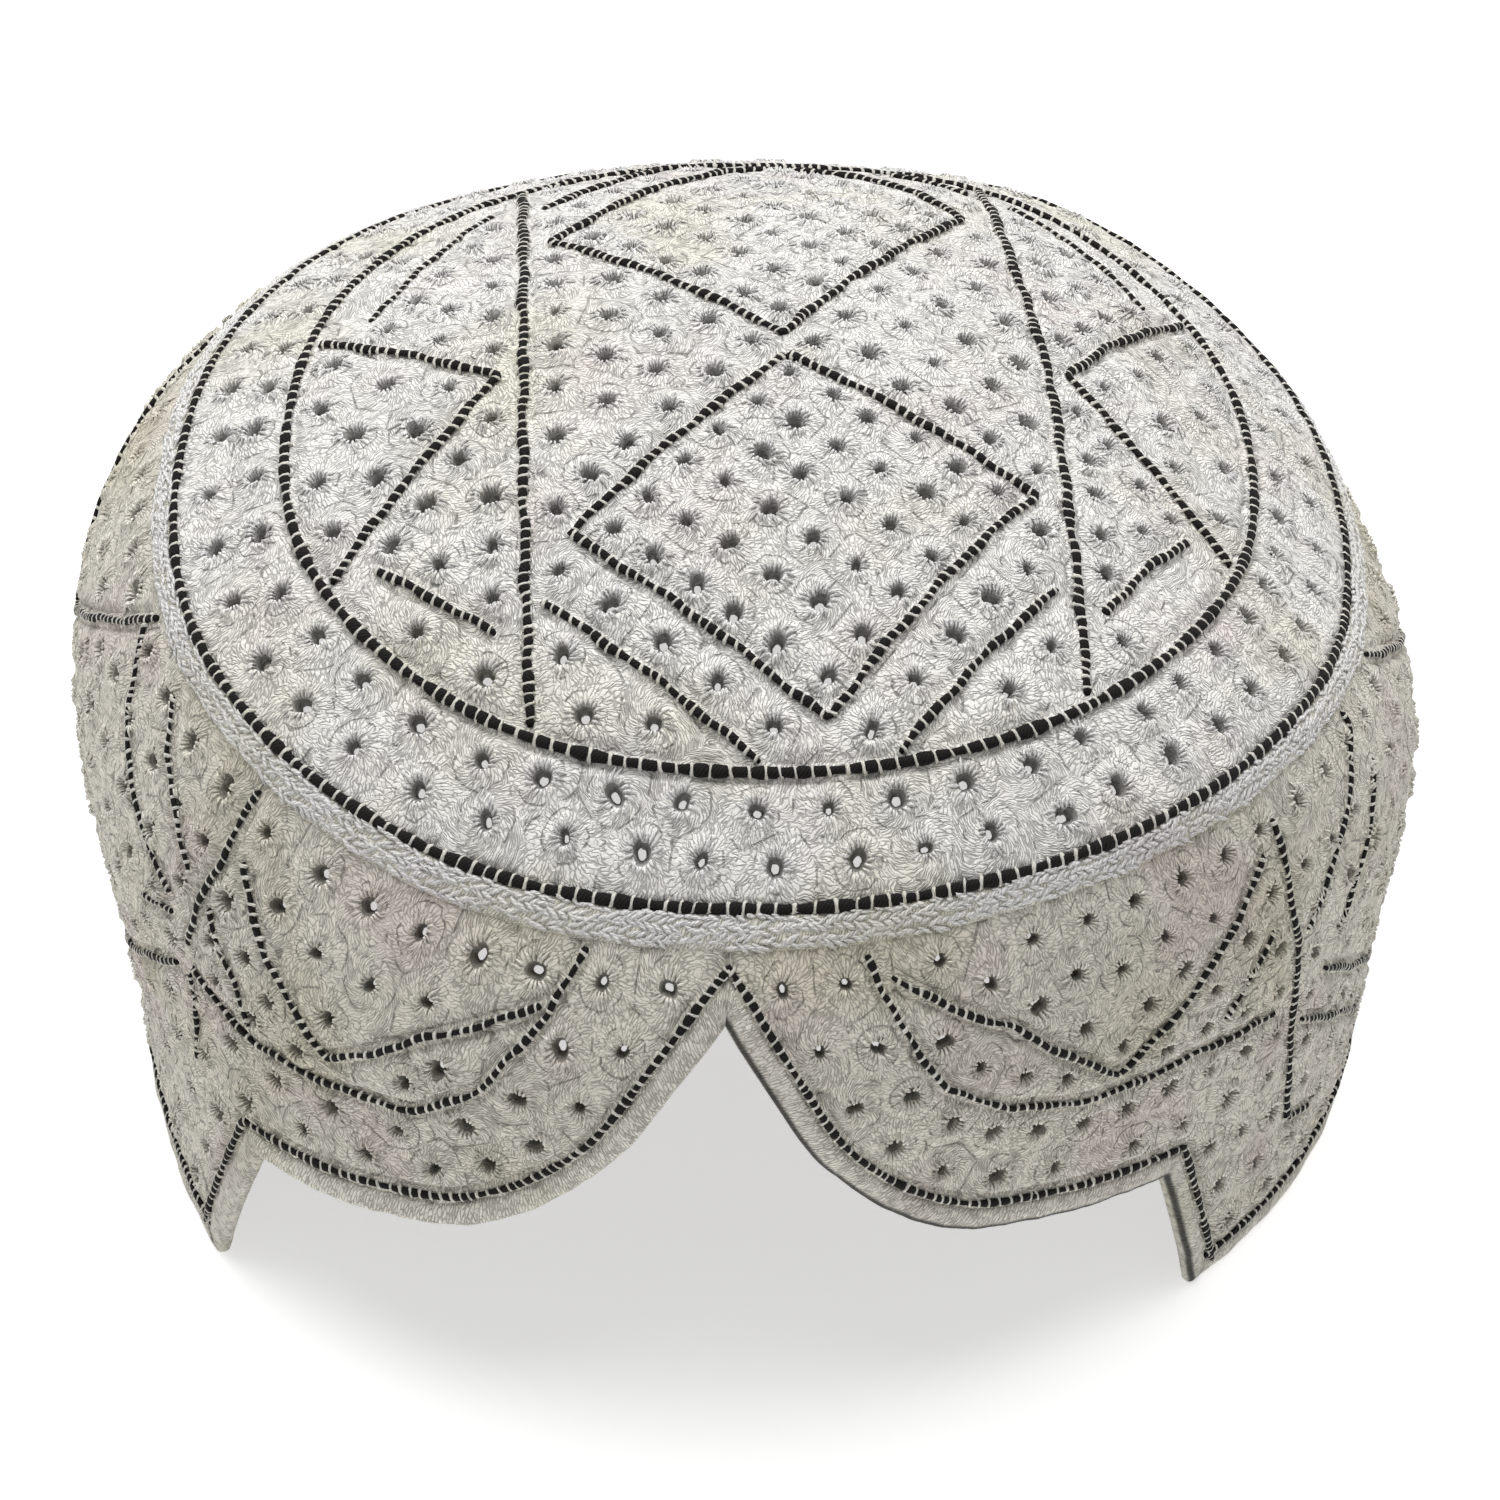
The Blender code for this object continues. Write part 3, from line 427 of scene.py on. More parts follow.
# the lines of the couched cords
cordTable = {
    # crown: plan corners, and which ends run out to the inner ring
    "crown": {
        "chord_cord_left": ((-38.5, 51.0), (-35.0, 3.5), (-32.6, -28.0), (-29.6, -59.0)),
        "chord_cord_right": ((28.0, 60.0), (32.1, 26.5), (36.1, 5.2), (38.7, -22.8), (41.4, -48.5)),
        "triangle_cord_left": ((-60.8, 7.2), (-37.6, -6.0), (-55.5, -36.4)),
        "triangle_cord_right": ((55.3, 34.2), (44.4, 16.6), (38.7, 6.4), (60.8, -17.7)),
        "corner_cord_front_left": ((-29.2, -42.6), (0.0, -62.8)),
        "corner_cord_front_right": ((37.2, -34.5), (17.5, -60.2)),
        "corner_cord_back_left": ((-35.0, 41.2), (-24.5, 54.5), (-19.5, 61.0)),
        "corner_cord_back_right": ((25.6, 55.4), (14.5, 62.0)),
        "side_cord_front_left": ((-51.2, -36.2), (-34.6, -46.6)),
        "side_cord_front_right": ((55.2, -17.6), (49.9, -25.1), (43.4, -36.0)),
        "side_cord_back_left": ((-56.4, 10.4), (-51.2, 22.6), (-45.1, 35.3), (-42.0, 41.0)),
        "side_cord_back_right": ((51.0, 33.2), (44.7, 42.1), (36.2, 49.8), (31.6, 53.8)),
        "rhombus_cord_front": ((0.3, -2.2), (-26.2, -33.5), (8.3, -57.0), (33.9, -20.6), (0.3, -2.2)),
        "rhombus_cord_back": (
            (-0.2, 2.2), (24.5, 41.5), (18.5, 50.2), (10.0, 57.5), (-1.0, 61.0), (-10.0, 57.5),
            (-21.0, 45.5), (-32.7, 27.2), (-0.2, 2.2),
        ),
    },
    "ringEnds": {
        "chord_cord_left": (0, -1), "chord_cord_right": (0, -1), "triangle_cord_left": (0, -1),
        "triangle_cord_right": (0, -1), "corner_cord_front_left": (-1,), "corner_cord_front_right": (-1,),
        "corner_cord_back_left": (-1,), "corner_cord_back_right": (-1,),
    },
    # band: azimuth and height
    "band": {
        "petal_cord_right": (
            (12.5, 71.2), (23.0, 62.5), (33.0, 49.0), (39.2, 55.4), (44.2, 61.5), (51.0, 69.0),
        ),
        "petal_cord_left": ((-16.6, 65.8), (-25.0, 58.5), (-33.0, 49.0), (-40.0, 58.0), (-45.2, 67.0)),
        "arc_cord_right": (
            (10.4, 73.6), (13.0, 66.0), (17.0, 56.0), (23.0, 50.0), (31.0, 46.0), (42.0, 45.2),
            (51.8, 41.8),
        ),
        "arc_cord_left": (
            (-14.0, 73.2), (-16.0, 65.0), (-20.0, 54.0), (-25.0, 47.0), (-32.0, 44.8), (-40.5, 43.0),
            (-45.2, 44.6), (-48.4, 46.4),
        ),
        "stem_cord_right": ((53.3, 72.0), (53.1, 58.0), (54.3, 46.0), (54.6, 31.0), (54.9, 17.5)),
        "stem_cord_left": ((-46.8, 75.0), (-47.2, 65.0), (-48.2, 57.0), (-48.9, 49.6)),
        "wave_cord": (
            (59.5, 40.5), (79.0, 15.0), (100.5, 41.0), (122.0, 13.0), (143.5, 41.0), (165.0, 13.0),
            (186.5, 41.0), (208.0, 13.0), (229.5, 41.0), (251.0, 13.0), (270.0, 43.0), (289.0, 17.0),
            (309.5, 44.0),
        ),
    },
    # petals round the sides and back: azimuth and height of the lowest point, and half the spread in degrees
    "sidePetals": ((100.5, 47.0), (143.5, 47.0), (186.5, 48.0), (229.5, 50.0), (272.5, 54.0)),
    "petalSpread": 20.0,
    "seamMargin": 4.6,  # from the ring down to the highest place of a band cord
    # thin dotted lines that have no solid of their own
    "medium": {
        "dots_right_1": (
            (69.8, 72.5), (69.8, 69.8), (66.5, 65.8), (61.8, 61.2), (59.0, 58.5), (55.2, 53.2),
        ),
        "dots_right_2": ((56.2, 35.0), (59.8, 30.5), (64.8, 24.5), (71.5, 15.2)),
    },
    "fine": {
        "dots_right_3": ((50.5, 58.2), (47.5, 53.5), (44.5, 48.5)),
        "dots_right_4": ((71.5, 63.0), (69.5, 60.0), (66.0, 55.0), (63.0, 50.8), (60.8, 46.2)),
        "dots_right_5": ((55.0, 17.3), (57.2, 15.8), (59.2, 14.2)),
        "dots_left_1": ((-47.0, 58.5), (-45.5, 55.2), (-43.0, 51.2), (-41.0, 44.8)),
        "dots_left_2": ((-60.0, 76.0), (-57.5, 70.8), (-54.8, 67.0), (-49.8, 60.3)),
        "dots_left_3": (
            (-68.8, 77.5), (-66.4, 73.0), (-64.2, 68.0), (-60.5, 62.5), (-55.5, 57.2), (-52.0, 54.8),
        ),
        "dots_left_4": ((-56.2, 48.5), (-53.2, 51.2), (-51.2, 52.5)),
        "dots_left_5": ((-48.7, 44.6), (-48.0, 40.5), (-47.8, 34.2), (-47.5, 29.5)),
    },
    "outerRingDrop": 0.15, "innerRing": 0.82,  # mm under the ring, and share of the ring radius
}
hemTable = {
    "notch": -1.5, "corner": 38.8, "tip": 42.8,
    # share of the lobe from the notch, hem height
    "lobe": ((0.0, 66.0), (0.1, 57.5), (0.2, 47.0), (0.3, 39.5), (0.45, 32.5), (0.7, 28.0), (1.0, 24.8)),
    "lobeSteps": 90, "cornerSteps": 22, "rearSteps": 300,
    "cordInset": 4.3,
}


def lobeHeight(share):
    # cubic Hermite curve through the lobe's rows, with finite-difference slopes
    shares, heights = np.array(hemTable["lobe"]).T
    slopes = np.gradient(heights, shares)
    i = np.clip(np.searchsorted(shares, share, side="right") - 1, 0, len(shares) - 2)
    width = shares[i + 1] - shares[i]
    s = (share - shares[i]) / width
    return ((1 + 2 * s) * (1 - s) ** 2 * heights[i] + s * (1 - s) ** 2 * width * slopes[i]
            + s**2 * (3 - 2 * s) * heights[i + 1] + s**2 * (s - 1) * width * slopes[i + 1])


def hemLine():
    # unrolled hem from the notch once round: right lobe, step down to the tip, level back, left lobe
    t = hemTable
    shares = (np.arange(t["lobeSteps"] + 1) / t["lobeSteps"]) ** 1.15
    right = np.stack([t["notch"] + (t["corner"] - t["notch"]) * shares, lobeHeight(shares)], -1)
    left = np.stack([360 + t["notch"] - (t["corner"] + t["notch"]) * shares, lobeHeight(shares)], -1)
    azimuth = np.linspace(t["tip"], 360 - t["tip"], t["rearSteps"] + 1)
    rear = np.stack([azimuth, np.zeros_like(azimuth)], -1)
    drop = (np.arange(1, t["cornerSteps"]) / t["cornerSteps"])[:, None]
    rightDrop = right[-1] + (rear[0] - right[-1]) * drop
    leftRise = rear[-1] + (left[-1] - rear[-1]) * drop
    line = np.concatenate([right, rightDrop, rear, leftRise, left[::-1][:-1]])
    return line * (unroll, 1.0)


def insetHem(line, depth, mitreLimit=1.4):
    # the closed unrolled line moved into the cloth along its mitred normals
    turn = np.array([360 * unroll, 0.0])
    wrapped = np.vstack([line[-1] - turn, line, line[0] + turn])
    along = unit(np.diff(wrapped, axis=0))
    across = np.stack([-along[:, 1], along[:, 0]], -1)
    middle = unit(across[:-1] + across[1:])
    mitre = 1 / np.maximum((middle * across[1:]).sum(-1, keepdims=True), 1 / mitreLimit)
    return line + depth * mitre * middle


def sidePetals():
    # each petal from the seam down to its lowest point and up again
    figures = {}
    for i, (middle, bottom) in enumerate(cordTable["sidePetals"]):
        start, end = middle - cordTable["petalSpread"], middle + cordTable["petalSpread"]
        tops = [(azimuth, ringHeight(azimuth)) for azimuth in (start, end)]
        figures[f"petal_cord_side_{i + 1}"] = [tops[0], (middle, bottom), tops[1]]
    return figures


def resample(corners, step):
    # points along straight runs between the corners, about a step apart
    corners = np.asarray(corners, float)
    total = runAlong(corners)
    count = max(4, int(round(total[-1] / step)))
    at = np.linspace(0, total[-1], count + 1)
    return np.stack([np.interp(at, total, corners[:, k]) for k in (0, 1)], -1)


def crownLines():
    # plan lines of the crown's cords; the inner ring is a share of the ring radius
    lines = {}
    for name, corners in cordTable["crown"].items():
        route = np.array(corners, float)
        for end in cordTable["ringEnds"].get(name, ()):
            azimuth = azimuthOf(route[end])
            route[end] = onCircle(azimuth, cordTable["innerRing"] * formAt(azimuth)[0] - 1.2)
        lines[name] = route
    azimuths = np.arange(0, 360.1, 2.5)
    lines["inner_ring_cord"] = onCircle(azimuths, cordTable["innerRing"] * formAt(azimuths)[0])
    return lines


def bandLines(figures):
    # unrolled lines, kept a margin below the seam
    lines = {}
    for name, corners in figures.items():
        route = [(a, min(h, ringHeight(a) - cordTable["seamMargin"])) for a, h in corners]
        lines[name] = np.array(route, float) * (unroll, 1.0)
    return lines


def seamLine(drop):
    # once round the band at one drop below the ring
    azimuth = np.arange(0, 360.1, 2.5)
    return np.stack([azimuth * unroll, ringHeight(azimuth) - drop], -1)


hem = hemLine()
onCrown = crownLines()
onBand = bandLines({**cordTable["band"], **sidePetals()})
onBandMedium, onBandFine = bandLines(cordTable["medium"]), bandLines(cordTable["fine"])
hemCordLine = insetHem(hem, hemTable["cordInset"])
closedHemCord = np.vstack([hemCordLine, hemCordLine[:1] + (360 * unroll, 0)])
print("lines laid out:", len(onCrown) + len(onBand) + len(onBandMedium) + len(onBandFine) + 2)

# eyelets: middles spread evenly between the cords, in the plane of the crown's plan or of the unrolled band
eyelets = {
    "spacing": 8.3, "cordClearance": 4.0, "rounds": 70, "rhombusRows": 6,
    "ringRows": ((0.866, 48, 0.0), (0.94, 50, 0.35)),  # share of the ring radius, count, turn in steps
    "holeRadius": (0.75, 1.3),
    "reach": 1.12, "push": 1.6,  # middles push each other within a share of the spacing
    "cordReach": 1.08, "cordPush": 0.9,  # and a cord pushes them within a share of the clearance
    "mostMove": 1.5,
    "tooNear": 0.66, "tooNearCord": 0.68,  # shares below which a middle is dropped
    "rhombi": (
        ((0.3, -2.2), (-26.2, -33.5), (8.3, -57.0), (33.9, -20.6)),
        ((-0.2, 2.2), (24.5, 41.5), (-1.0, 63.0), (-32.7, 27.2)),
    ),
    "latticeShare": 0.755, "fieldShare": 0.775,  # shares of the ring radius that they stay within
    "latticeShake": 0.35, "seedShake": 0.5,
    "aboveHemCord": 1.5, "belowRing": 5.0, "seamBarrier": 3.6,
}


def segmentsOf(lines):
    starts = np.vstack([line[:-1] for line in lines])
    ends = np.vstack([line[1:] for line in lines])
    return starts, ends


def nearestOnSegments(points, starts, ends):
    # distance and direction from each point to the nearest segment
    along = ends - starts
    share = ((points[:, None] - starts) * along).sum(-1) / np.maximum((along**2).sum(-1), 1e-9)
    foot = starts + np.clip(share, 0, 1)[..., None] * along
    away = points[:, None] - foot
    distance = np.linalg.norm(away, axis=-1)
    index = distance.argmin(1)
    rows = np.arange(len(points))
    return distance[rows, index], unit(away[rows, index])


def spread(free, fixed, starts, ends, inside, wrap=None):
    # free points push each other apart and keep clear of the cords, round after round
    spacing, clearance = eyelets["spacing"], eyelets["cordClearance"]
    for turn in range(eyelets["rounds"]):
        others = np.vstack([free, fixed]) if len(fixed) else free
        if wrap:
            others = np.vstack([others, others + (wrap, 0), others - (wrap, 0)])
        away = free[:, None] - others
        distance = np.linalg.norm(away, axis=-1)
        distance[distance < 1e-6] = 1e9
        push = np.clip(eyelets["reach"] * spacing - distance, 0, None) / spacing
        move = (away / distance[..., None] * push[..., None]).sum(1) * eyelets["push"]
        gap, direction = nearestOnSegments(free, starts, ends)
        wall = np.clip(clearance * eyelets["cordReach"] - gap, 0, None)
        calmer = 1 - 0.5 * turn / eyelets["rounds"]
        move = np.clip(move, -eyelets["mostMove"], eyelets["mostMove"]) * calmer
        free = free + move + wall[:, None] * direction * eyelets["cordPush"]
        free = free[inside(free)]
        # where two have been squeezed together, one goes
        gaps = np.linalg.norm(free[:, None] - free, axis=-1) + np.triu(np.full((len(free), len(free)), 1e9))
        if turn % 10 == 9:
            free = free[gaps.min(1) > eyelets["tooNear"] * spacing]
    gap, _ = nearestOnSegments(free, starts, ends)
    return free[gap > eyelets["tooNearCord"] * clearance]


def hexSeeds(low, high, step):
    rows = np.arange(low[1], high[1], step * 0.866)
    columns = np.arange(low[0], high[0], step)
    return np.array([(x + (i % 2) * step / 2, y) for i, y in enumerate(rows) for x in columns])


def crownEyelets():
    lattice = []
    shares = (np.arange(eyelets["rhombusRows"]) + 0.5) / eyelets["rhombusRows"]
    for corners in eyelets["rhombi"]:
        a, b, c, d = np.array(corners)
        u, v = (g.ravel()[:, None] for g in np.meshgrid(shares, shares))
        lattice.append((1 - u) * (1 - v) * a + u * (1 - v) * b + u * v * c + (1 - u) * v * d)
    lattice = np.vstack(lattice)
    lattice += rng.normal(0, eyelets["latticeShake"], lattice.shape)
    limit = eyelets["latticeShare"] * formAt(azimuthOf(lattice))[0]
    lattice = lattice[np.linalg.norm(lattice, axis=1) < limit]
    starts, ends = segmentsOf(list(onCrown.values()))
    rhombi = [onCrown["rhombus_cord_front"], onCrown["rhombus_cord_back"]]

    def inside(points):
        within = np.linalg.norm(points, axis=1) < eyelets["fieldShare"] * formAt(azimuthOf(points))[0]
        return within & ~(insideLoop(points, rhombi[0]) | insideLoop(points, rhombi[1]))

    seeds = hexSeeds((-66, -66), (66, 66), eyelets["spacing"])
    seeds += rng.normal(0, eyelets["seedShake"], seeds.shape)
    free = spread(seeds[inside(seeds)], lattice, starts, ends, inside)
    ring = []
    for share, count, turn in eyelets["ringRows"]:
        azimuth = (np.arange(count) + turn + rng.normal(0, 0.05, count)) * 360 / count
        ring.append(onCircle(azimuth, (share + rng.normal(0, 0.004, count)) * formAt(azimuth)[0]))
    return np.vstack([lattice, free, *ring])


def insideLoop(points, loop):
    # even-odd rule over the loop's edges
    a, b = loop[:-1], loop[1:]
    x, y = points[:, 0, None], points[:, 1, None]
    crosses = (a[:, 1] > y) != (b[:, 1] > y)
    rise = np.where(np.abs(b[:, 1] - a[:, 1]) < 1e-9, 1e-9, b[:, 1] - a[:, 1])
    return ((x < a[:, 0] + (y - a[:, 1]) / rise * (b[:, 0] - a[:, 0])) & crosses).sum(1) % 2 == 1


def wrapped(line):
    # a closed unrolled line, repeated one turn to either side so that its ends have neighbours
    turn = np.array([360 * unroll, 0.0])
    return [line - turn, line, line + turn]


def bandBarriers():
    lines = []
    for line in (*onBand.values(), seamLine(eyelets["seamBarrier"]), closedHemCord[::3]):
        lines += wrapped(line)
    lines = [line for line in lines if line[:, 0].max() > -20 and line[:, 0].min() < 360 * unroll + 20]
    return segmentsOf(lines)


def bandEyelets():
    starts, ends = bandBarriers()
    turn = 360 * unroll
    lowest = closedHemCord[np.argsort(closedHemCord[:, 0], kind="stable")]

    def inside(points):
        x = points[:, 0]
        low = np.interp(x % turn, lowest[:, 0], lowest[:, 1])
        high = ringHeight(x / unroll) - eyelets["belowRing"]
        onCloth = (points[:, 1] > low + eyelets["aboveHemCord"]) & (points[:, 1] < high)
        return onCloth & (x > 0) & (x <= turn)

    columns = round(turn / eyelets["spacing"])
    seeds = hexSeeds((0.1, 3.0), (turn, 90.0), turn / columns)
    seeds += rng.normal(0, eyelets["seedShake"], seeds.shape)
    return spread(seeds[inside(seeds)], np.zeros((0, 2)), starts, ends, inside, wrap=turn)


# the cloth: one sheet of fine triangles for the crown and one for the band, open at each eyelet
# the outer face rises to a lip round an eyelet, sinks where two cells meet, and has a groove beside a cord
clothLook = {
    "rimPoints": 14, "ragged": 0.08, "stretch": 0.3,
    "lipSteps": (0.4, 1.0),  # rings of points outside the rim, mm
    "fillStep": 1.25, "clearOfRims": 0.35, "clearOfGuides": 0.45, "clearOfAll": 0.75,
    "guideOffsets": (-1.7, -1.15, -0.75, 0.75, 1.15, 1.7), "guideStep": 1.2,
    "inner": -1.85, "innerHole": 0.45,  # depth of the inner face, and how far an eyelet narrows towards it
    # lift = height * exp(-((distance - centre) / width)^2)
    "lip": (0.36, 0.62, 0.5), "rimDrop": (-0.5, 0.0, 0.26), "border": (-0.3, 0.0, 0.5),
    "groove": (-0.45, 1.15, 0.24), "shoulder": (0.12, 1.75, 0.4), "bed": (-0.25, 0.0, 0.7),
    "rough": 0.07, "bulge": 0.35,
    "innerShift": 1.6,  # by how much the inner face's map lies nearer to the eyelet's middle, mm
    # band: from the hem's edge to the sheet, from the ring to the sheet, and from the join to an eyelet
    "hemInset": 2.9, "ringDrop": 0.6, "clearOfJoin": 2.2,
    "underSeam": (0.35, 3.0, 1.5),  # how far it sinks below the seam, from which drop, and how fast it rises
}


def offsetLines(lines):
    # points on both sides of each cord's line, at the guide offsets
    made = []
    for line in lines:
        route = resample(line, clothLook["guideStep"])
        along = unit(np.gradient(route, axis=0))
        across = np.stack([-along[:, 1], along[:, 0]], -1)
        made += [route + offset * across for offset in clothLook["guideOffsets"]]
    return np.vstack(made)


def clearOf(points, taken, gap, cell=0.2):
    # marks the taken points on a fine raster, widens the marks to the gap, and keeps the points outside
    low = np.minimum(points.min(0), taken.min(0)) - gap - 1
    size = ((np.maximum(points.max(0), taken.max(0)) + gap + 1 - low) / cell).astype(int) + 2
    marks = np.zeros(size, bool)
    marks[tuple(((taken - low) / cell).astype(int).T)] = True
    reach = int(round(gap / cell))
    wide = marks.copy()
    for i in range(-reach, reach + 1):
        for j in range(-reach, reach + 1):
            if i * i + j * j <= reach * reach:
                wide |= np.roll(marks, (i, j), (0, 1))
    return points[~wide[tuple(((points - low) / cell).astype(int).T)]]


def inChunks(function, points, size=3000):
    # the function over a long array, a few thousand points at a time
    return np.concatenate([function(points[k:k + size]) for k in range(0, len(points), size)])


def eyeletRims(count):
    # ragged ovals: hole radius * (1 + stretch * cos 2(angle - lean)) * (1 + ragged noise)
    sides = clothLook["rimPoints"]
    turn = np.arange(sides) * 2 * np.pi / sides
    hole = rng.uniform(*eyelets["holeRadius"], (count, 1))
    lean = rng.uniform(0, np.pi, (count, 1))
    stretch = 1 + rng.uniform(0, clothLook["stretch"], (count, 1)) * np.cos(2 * (turn - lean))
    return hole * stretch * (1 + clothLook["ragged"] * rng.normal(0, 1, (count, sides)))


def rimRadius(rims, index, away):
    # an eyelet's rim in the direction away from its middle, straight between the rim's points
    sides = rims.shape[1]
    place = (np.arctan2(away[:, 1], away[:, 0]) / (2 * np.pi) * sides) % sides
    first = np.floor(place).astype(int) % sides
    share = place - np.floor(place)
    return rims[index, first] * (1 - share) + rims[index, (first + 1) % sides] * share


def outsideRims(points, middles, rims):
    # true where a point is clear of the rim of its nearest eyelet
    near = twoNearest(points, middles)
    index = near[:, 0].astype(int)
    return near[:, 1] > rimRadius(rims, index, points - middles[index]) + clothLook["clearOfRims"] * 0.8


def layOutSheet(outline, middles, rims, guides):
    # flat triangles inside the outline, less the eyelets
    sides = clothLook["rimPoints"]
    turn = np.arange(sides) * 2 * np.pi / sides
    rimPoints = (middles[:, None] + rims[..., None] * spokesAt(turn)).reshape(-1, 2)
    loop = np.vstack([outline, outline[:1]])
    lips = np.zeros((0, 2))
    for k, step in enumerate(clothLook["lipSteps"]):
        spokes = spokesAt(turn + (k + 1) * np.pi / sides)
        lips = np.vstack([lips, (middles[:, None] + (rims[..., None] + step) * spokes).reshape(-1, 2)])
    guides = clearOf(guides, np.vstack([rimPoints, outline]), clothLook["clearOfRims"])
    guides = guides[spacedOut(guides, 0.3)]
    lips = clearOf(lips, np.vstack([outline, guides]), clothLook["clearOfGuides"])
    taken = np.vstack([outline, rimPoints, lips, guides])
    low, high = outline.min(0), outline.max(0)
    fill = hexSeeds(low, high, clothLook["fillStep"])
    fill = clearOf(fill + rng.normal(0, 0.12, fill.shape), taken, clothLook["clearOfAll"])
    free = np.vstack([lips, guides, fill])
    free = free[inChunks(lambda points: insideLoop(points, loop) & outsideRims(points, middles, rims), free)]
    first = len(outline)
    edges = [(i, (i + 1) % first) for i in range(first)]
    start = np.arange(len(middles))[:, None] * sides + first
    ring = np.arange(sides)
    edges += np.stack([start + ring, start + (ring + 1) % sides], -1).reshape(-1, 2).tolist()
    allPoints = np.vstack([outline, rimPoints, free])
    corners = [Vector(p) for p in allPoints.tolist()]
    flat, _, faces, origin, _, _ = delaunay_2d_cdt(corners, edges, [], 1, 1e-6)
    flat = np.array([tuple(p) for p in flat])
    rimOf = np.full(len(allPoints), -1)
    rimOf[first:first + len(rimPoints)] = np.arange(len(rimPoints)) // sides
    rimOf = rimOf[[o[0] for o in origin]]
    faces = np.array(faces)
    corners = rimOf[faces]
    inHole = (corners[:, 0] >= 0) & (corners[:, 0] == corners[:, 1]) & (corners[:, 1] == corners[:, 2])
    faces = faces[~inHole]
    corner = flat[faces]
    (ax, ay), (bx, by) = (corner[:, 1] - corner[:, 0]).T, (corner[:, 2] - corner[:, 0]).T
    faces[ax * by < ay * bx] = faces[ax * by < ay * bx][:, ::-1]
    return flat, faces


def spacedOut(points, gap):
    # the first point in each square of a grid
    _, first = np.unique(np.floor(points / gap).astype(int), axis=0, return_index=True)
    return first


def hump(distance, shape):
    height, centre, width = shape
    return height * np.exp(-(((distance - centre) / width) ** 2))


def twoNearest(points, middles):
    # index of the nearest middle, the distance to it, and the distance to the border with the next one
    away = np.linalg.norm(points[:, None] - middles, axis=-1)
    index = away.argmin(1)
    rows = np.arange(len(points))
    nearest = away[rows, index].copy()
    away[rows, index] = 1e9
    return np.stack([index, nearest, (away.min(1) - nearest) / 2], -1)


def clothLift(flat, near, rims, bulge, starts, ends):
    # lip and drop by the distance beyond the rim, grooves by the distances to the border and to a cord
    index, distance, border = near[:, 0].astype(int), near[:, 1], near[:, 2]
    beyond = np.maximum(distance - rims.mean(1)[index], 0)
    cord = inChunks(lambda points: nearestOnSegments(points, starts, ends)[0], flat)
    look = clothLook
    lift = bulge[index] * hump(beyond, look["lip"]) + hump(beyond, look["rimDrop"])
    lift = lift + hump(border, look["border"])
    lift += hump(cord, look["groove"]) + hump(cord, look["shoulder"]) + hump(cord, look["bed"])
    return lift + look["rough"] * rng.normal(0, 1, len(flat)) * (beyond > 0.1)


def closeTurn(flat, faces):
    # joins the two ends of the unrolled sheet
    turn, low = 360 * unroll, flat[:, 0].min()
    ends = np.flatnonzero(flat[:, 0] > low + turn - 0.01)
    starts = np.flatnonzero(flat[:, 0] < low + 0.01)
    joined = np.arange(len(flat))
    joined[ends] = starts[np.abs(flat[starts, 1][None] - flat[ends, 1][:, None]).argmin(1)]
    return joined[faces]


def drawnIn(flat, near, middles, rims):
    # the inner sheet's plan: each point of a rim at a share of its distance from the eyelet's middle
    index = near[:, 0].astype(int)
    away = flat - middles[index]
    onRim = np.abs(np.linalg.norm(away, axis=1) - rimRadius(rims, index, away)) < 0.02
    return np.where(onRim[:, None], middles[index] + clothLook["innerHole"] * away, flat)


def clothPiece(name, faces, flat, outer, inner, middles, cellNumber, near, turnLength, material):
    # the outer and inner faces, and walls along every open edge; both maps are measured from the eyelet
    # that is nearest
    used, packed = np.unique(faces, return_inverse=True)
    packed = packed.reshape(faces.shape)
    count = len(used)
    sides = np.concatenate([packed[:, [0, 1]], packed[:, [1, 2]], packed[:, [2, 0]]]).astype(np.int64)
    key, back = sides[:, 0] * count + sides[:, 1], sides[:, 1] * count + sides[:, 0]
    a, b = sides[~np.isin(key, back)].T
    allFaces = np.concatenate([packed, packed[:, ::-1] + count, np.stack([b, a, a + count], -1),
                               np.stack([b, a + count, b + count], -1)])
    place = flat[used][allFaces % count]

    def around(difference):
        if turnLength:
            difference[..., 0] -= turnLength * np.round(difference[..., 0] / turnLength)
        return difference

    fromFirst = around(place - place[:, :1])
    centre = place[:, 0] + fromFirst.mean(1)
    others = np.vstack([middles + (k * turnLength, 0) for k in ((0, 1, -1) if turnLength else (0,))])
    owner = inChunks(lambda points: twoNearest(points, others), centre)[:, 0].astype(int)
    local = around(centre - others[owner])[:, None] + fromFirst - fromFirst.mean(1, keepdims=True)
    middleTurn = np.arctan2(local.mean(1)[:, 1], local.mean(1)[:, 0])[:, None]
    angle = np.arctan2(local[..., 1], local[..., 0])
    angle = middleTurn + (angle - middleTurn + np.pi) % (2 * np.pi) - np.pi
    radius = np.linalg.norm(local, axis=-1) - clothLook["innerShift"] * (allFaces >= count)
    owner = owner % len(middles)
    # the border's distance is negative at a corner that belongs to the next cell
    cornerNear = near[used][allFaces % count]
    border = cornerNear[..., 2] * np.where(cornerNear[..., 0].astype(int) == owner[:, None], 1, -1)
    order = np.arange(len(allFaces))
    inside, wall = order >= len(packed), order >= 2 * len(packed)
    number = cellNumber[owner] + faceMark * inside + faceMark * wall
    cell = np.stack([np.broadcast_to(number[:, None], radius.shape), border], -1)
    stitch = np.stack([angle / (2 * np.pi) + cellNumber[owner][:, None], radius], -1)
    points = np.vstack([outer[used], inner[used]])
    return makeMesh(name, points, allFaces, {"stitch": stitch, "cell": cell}, material)


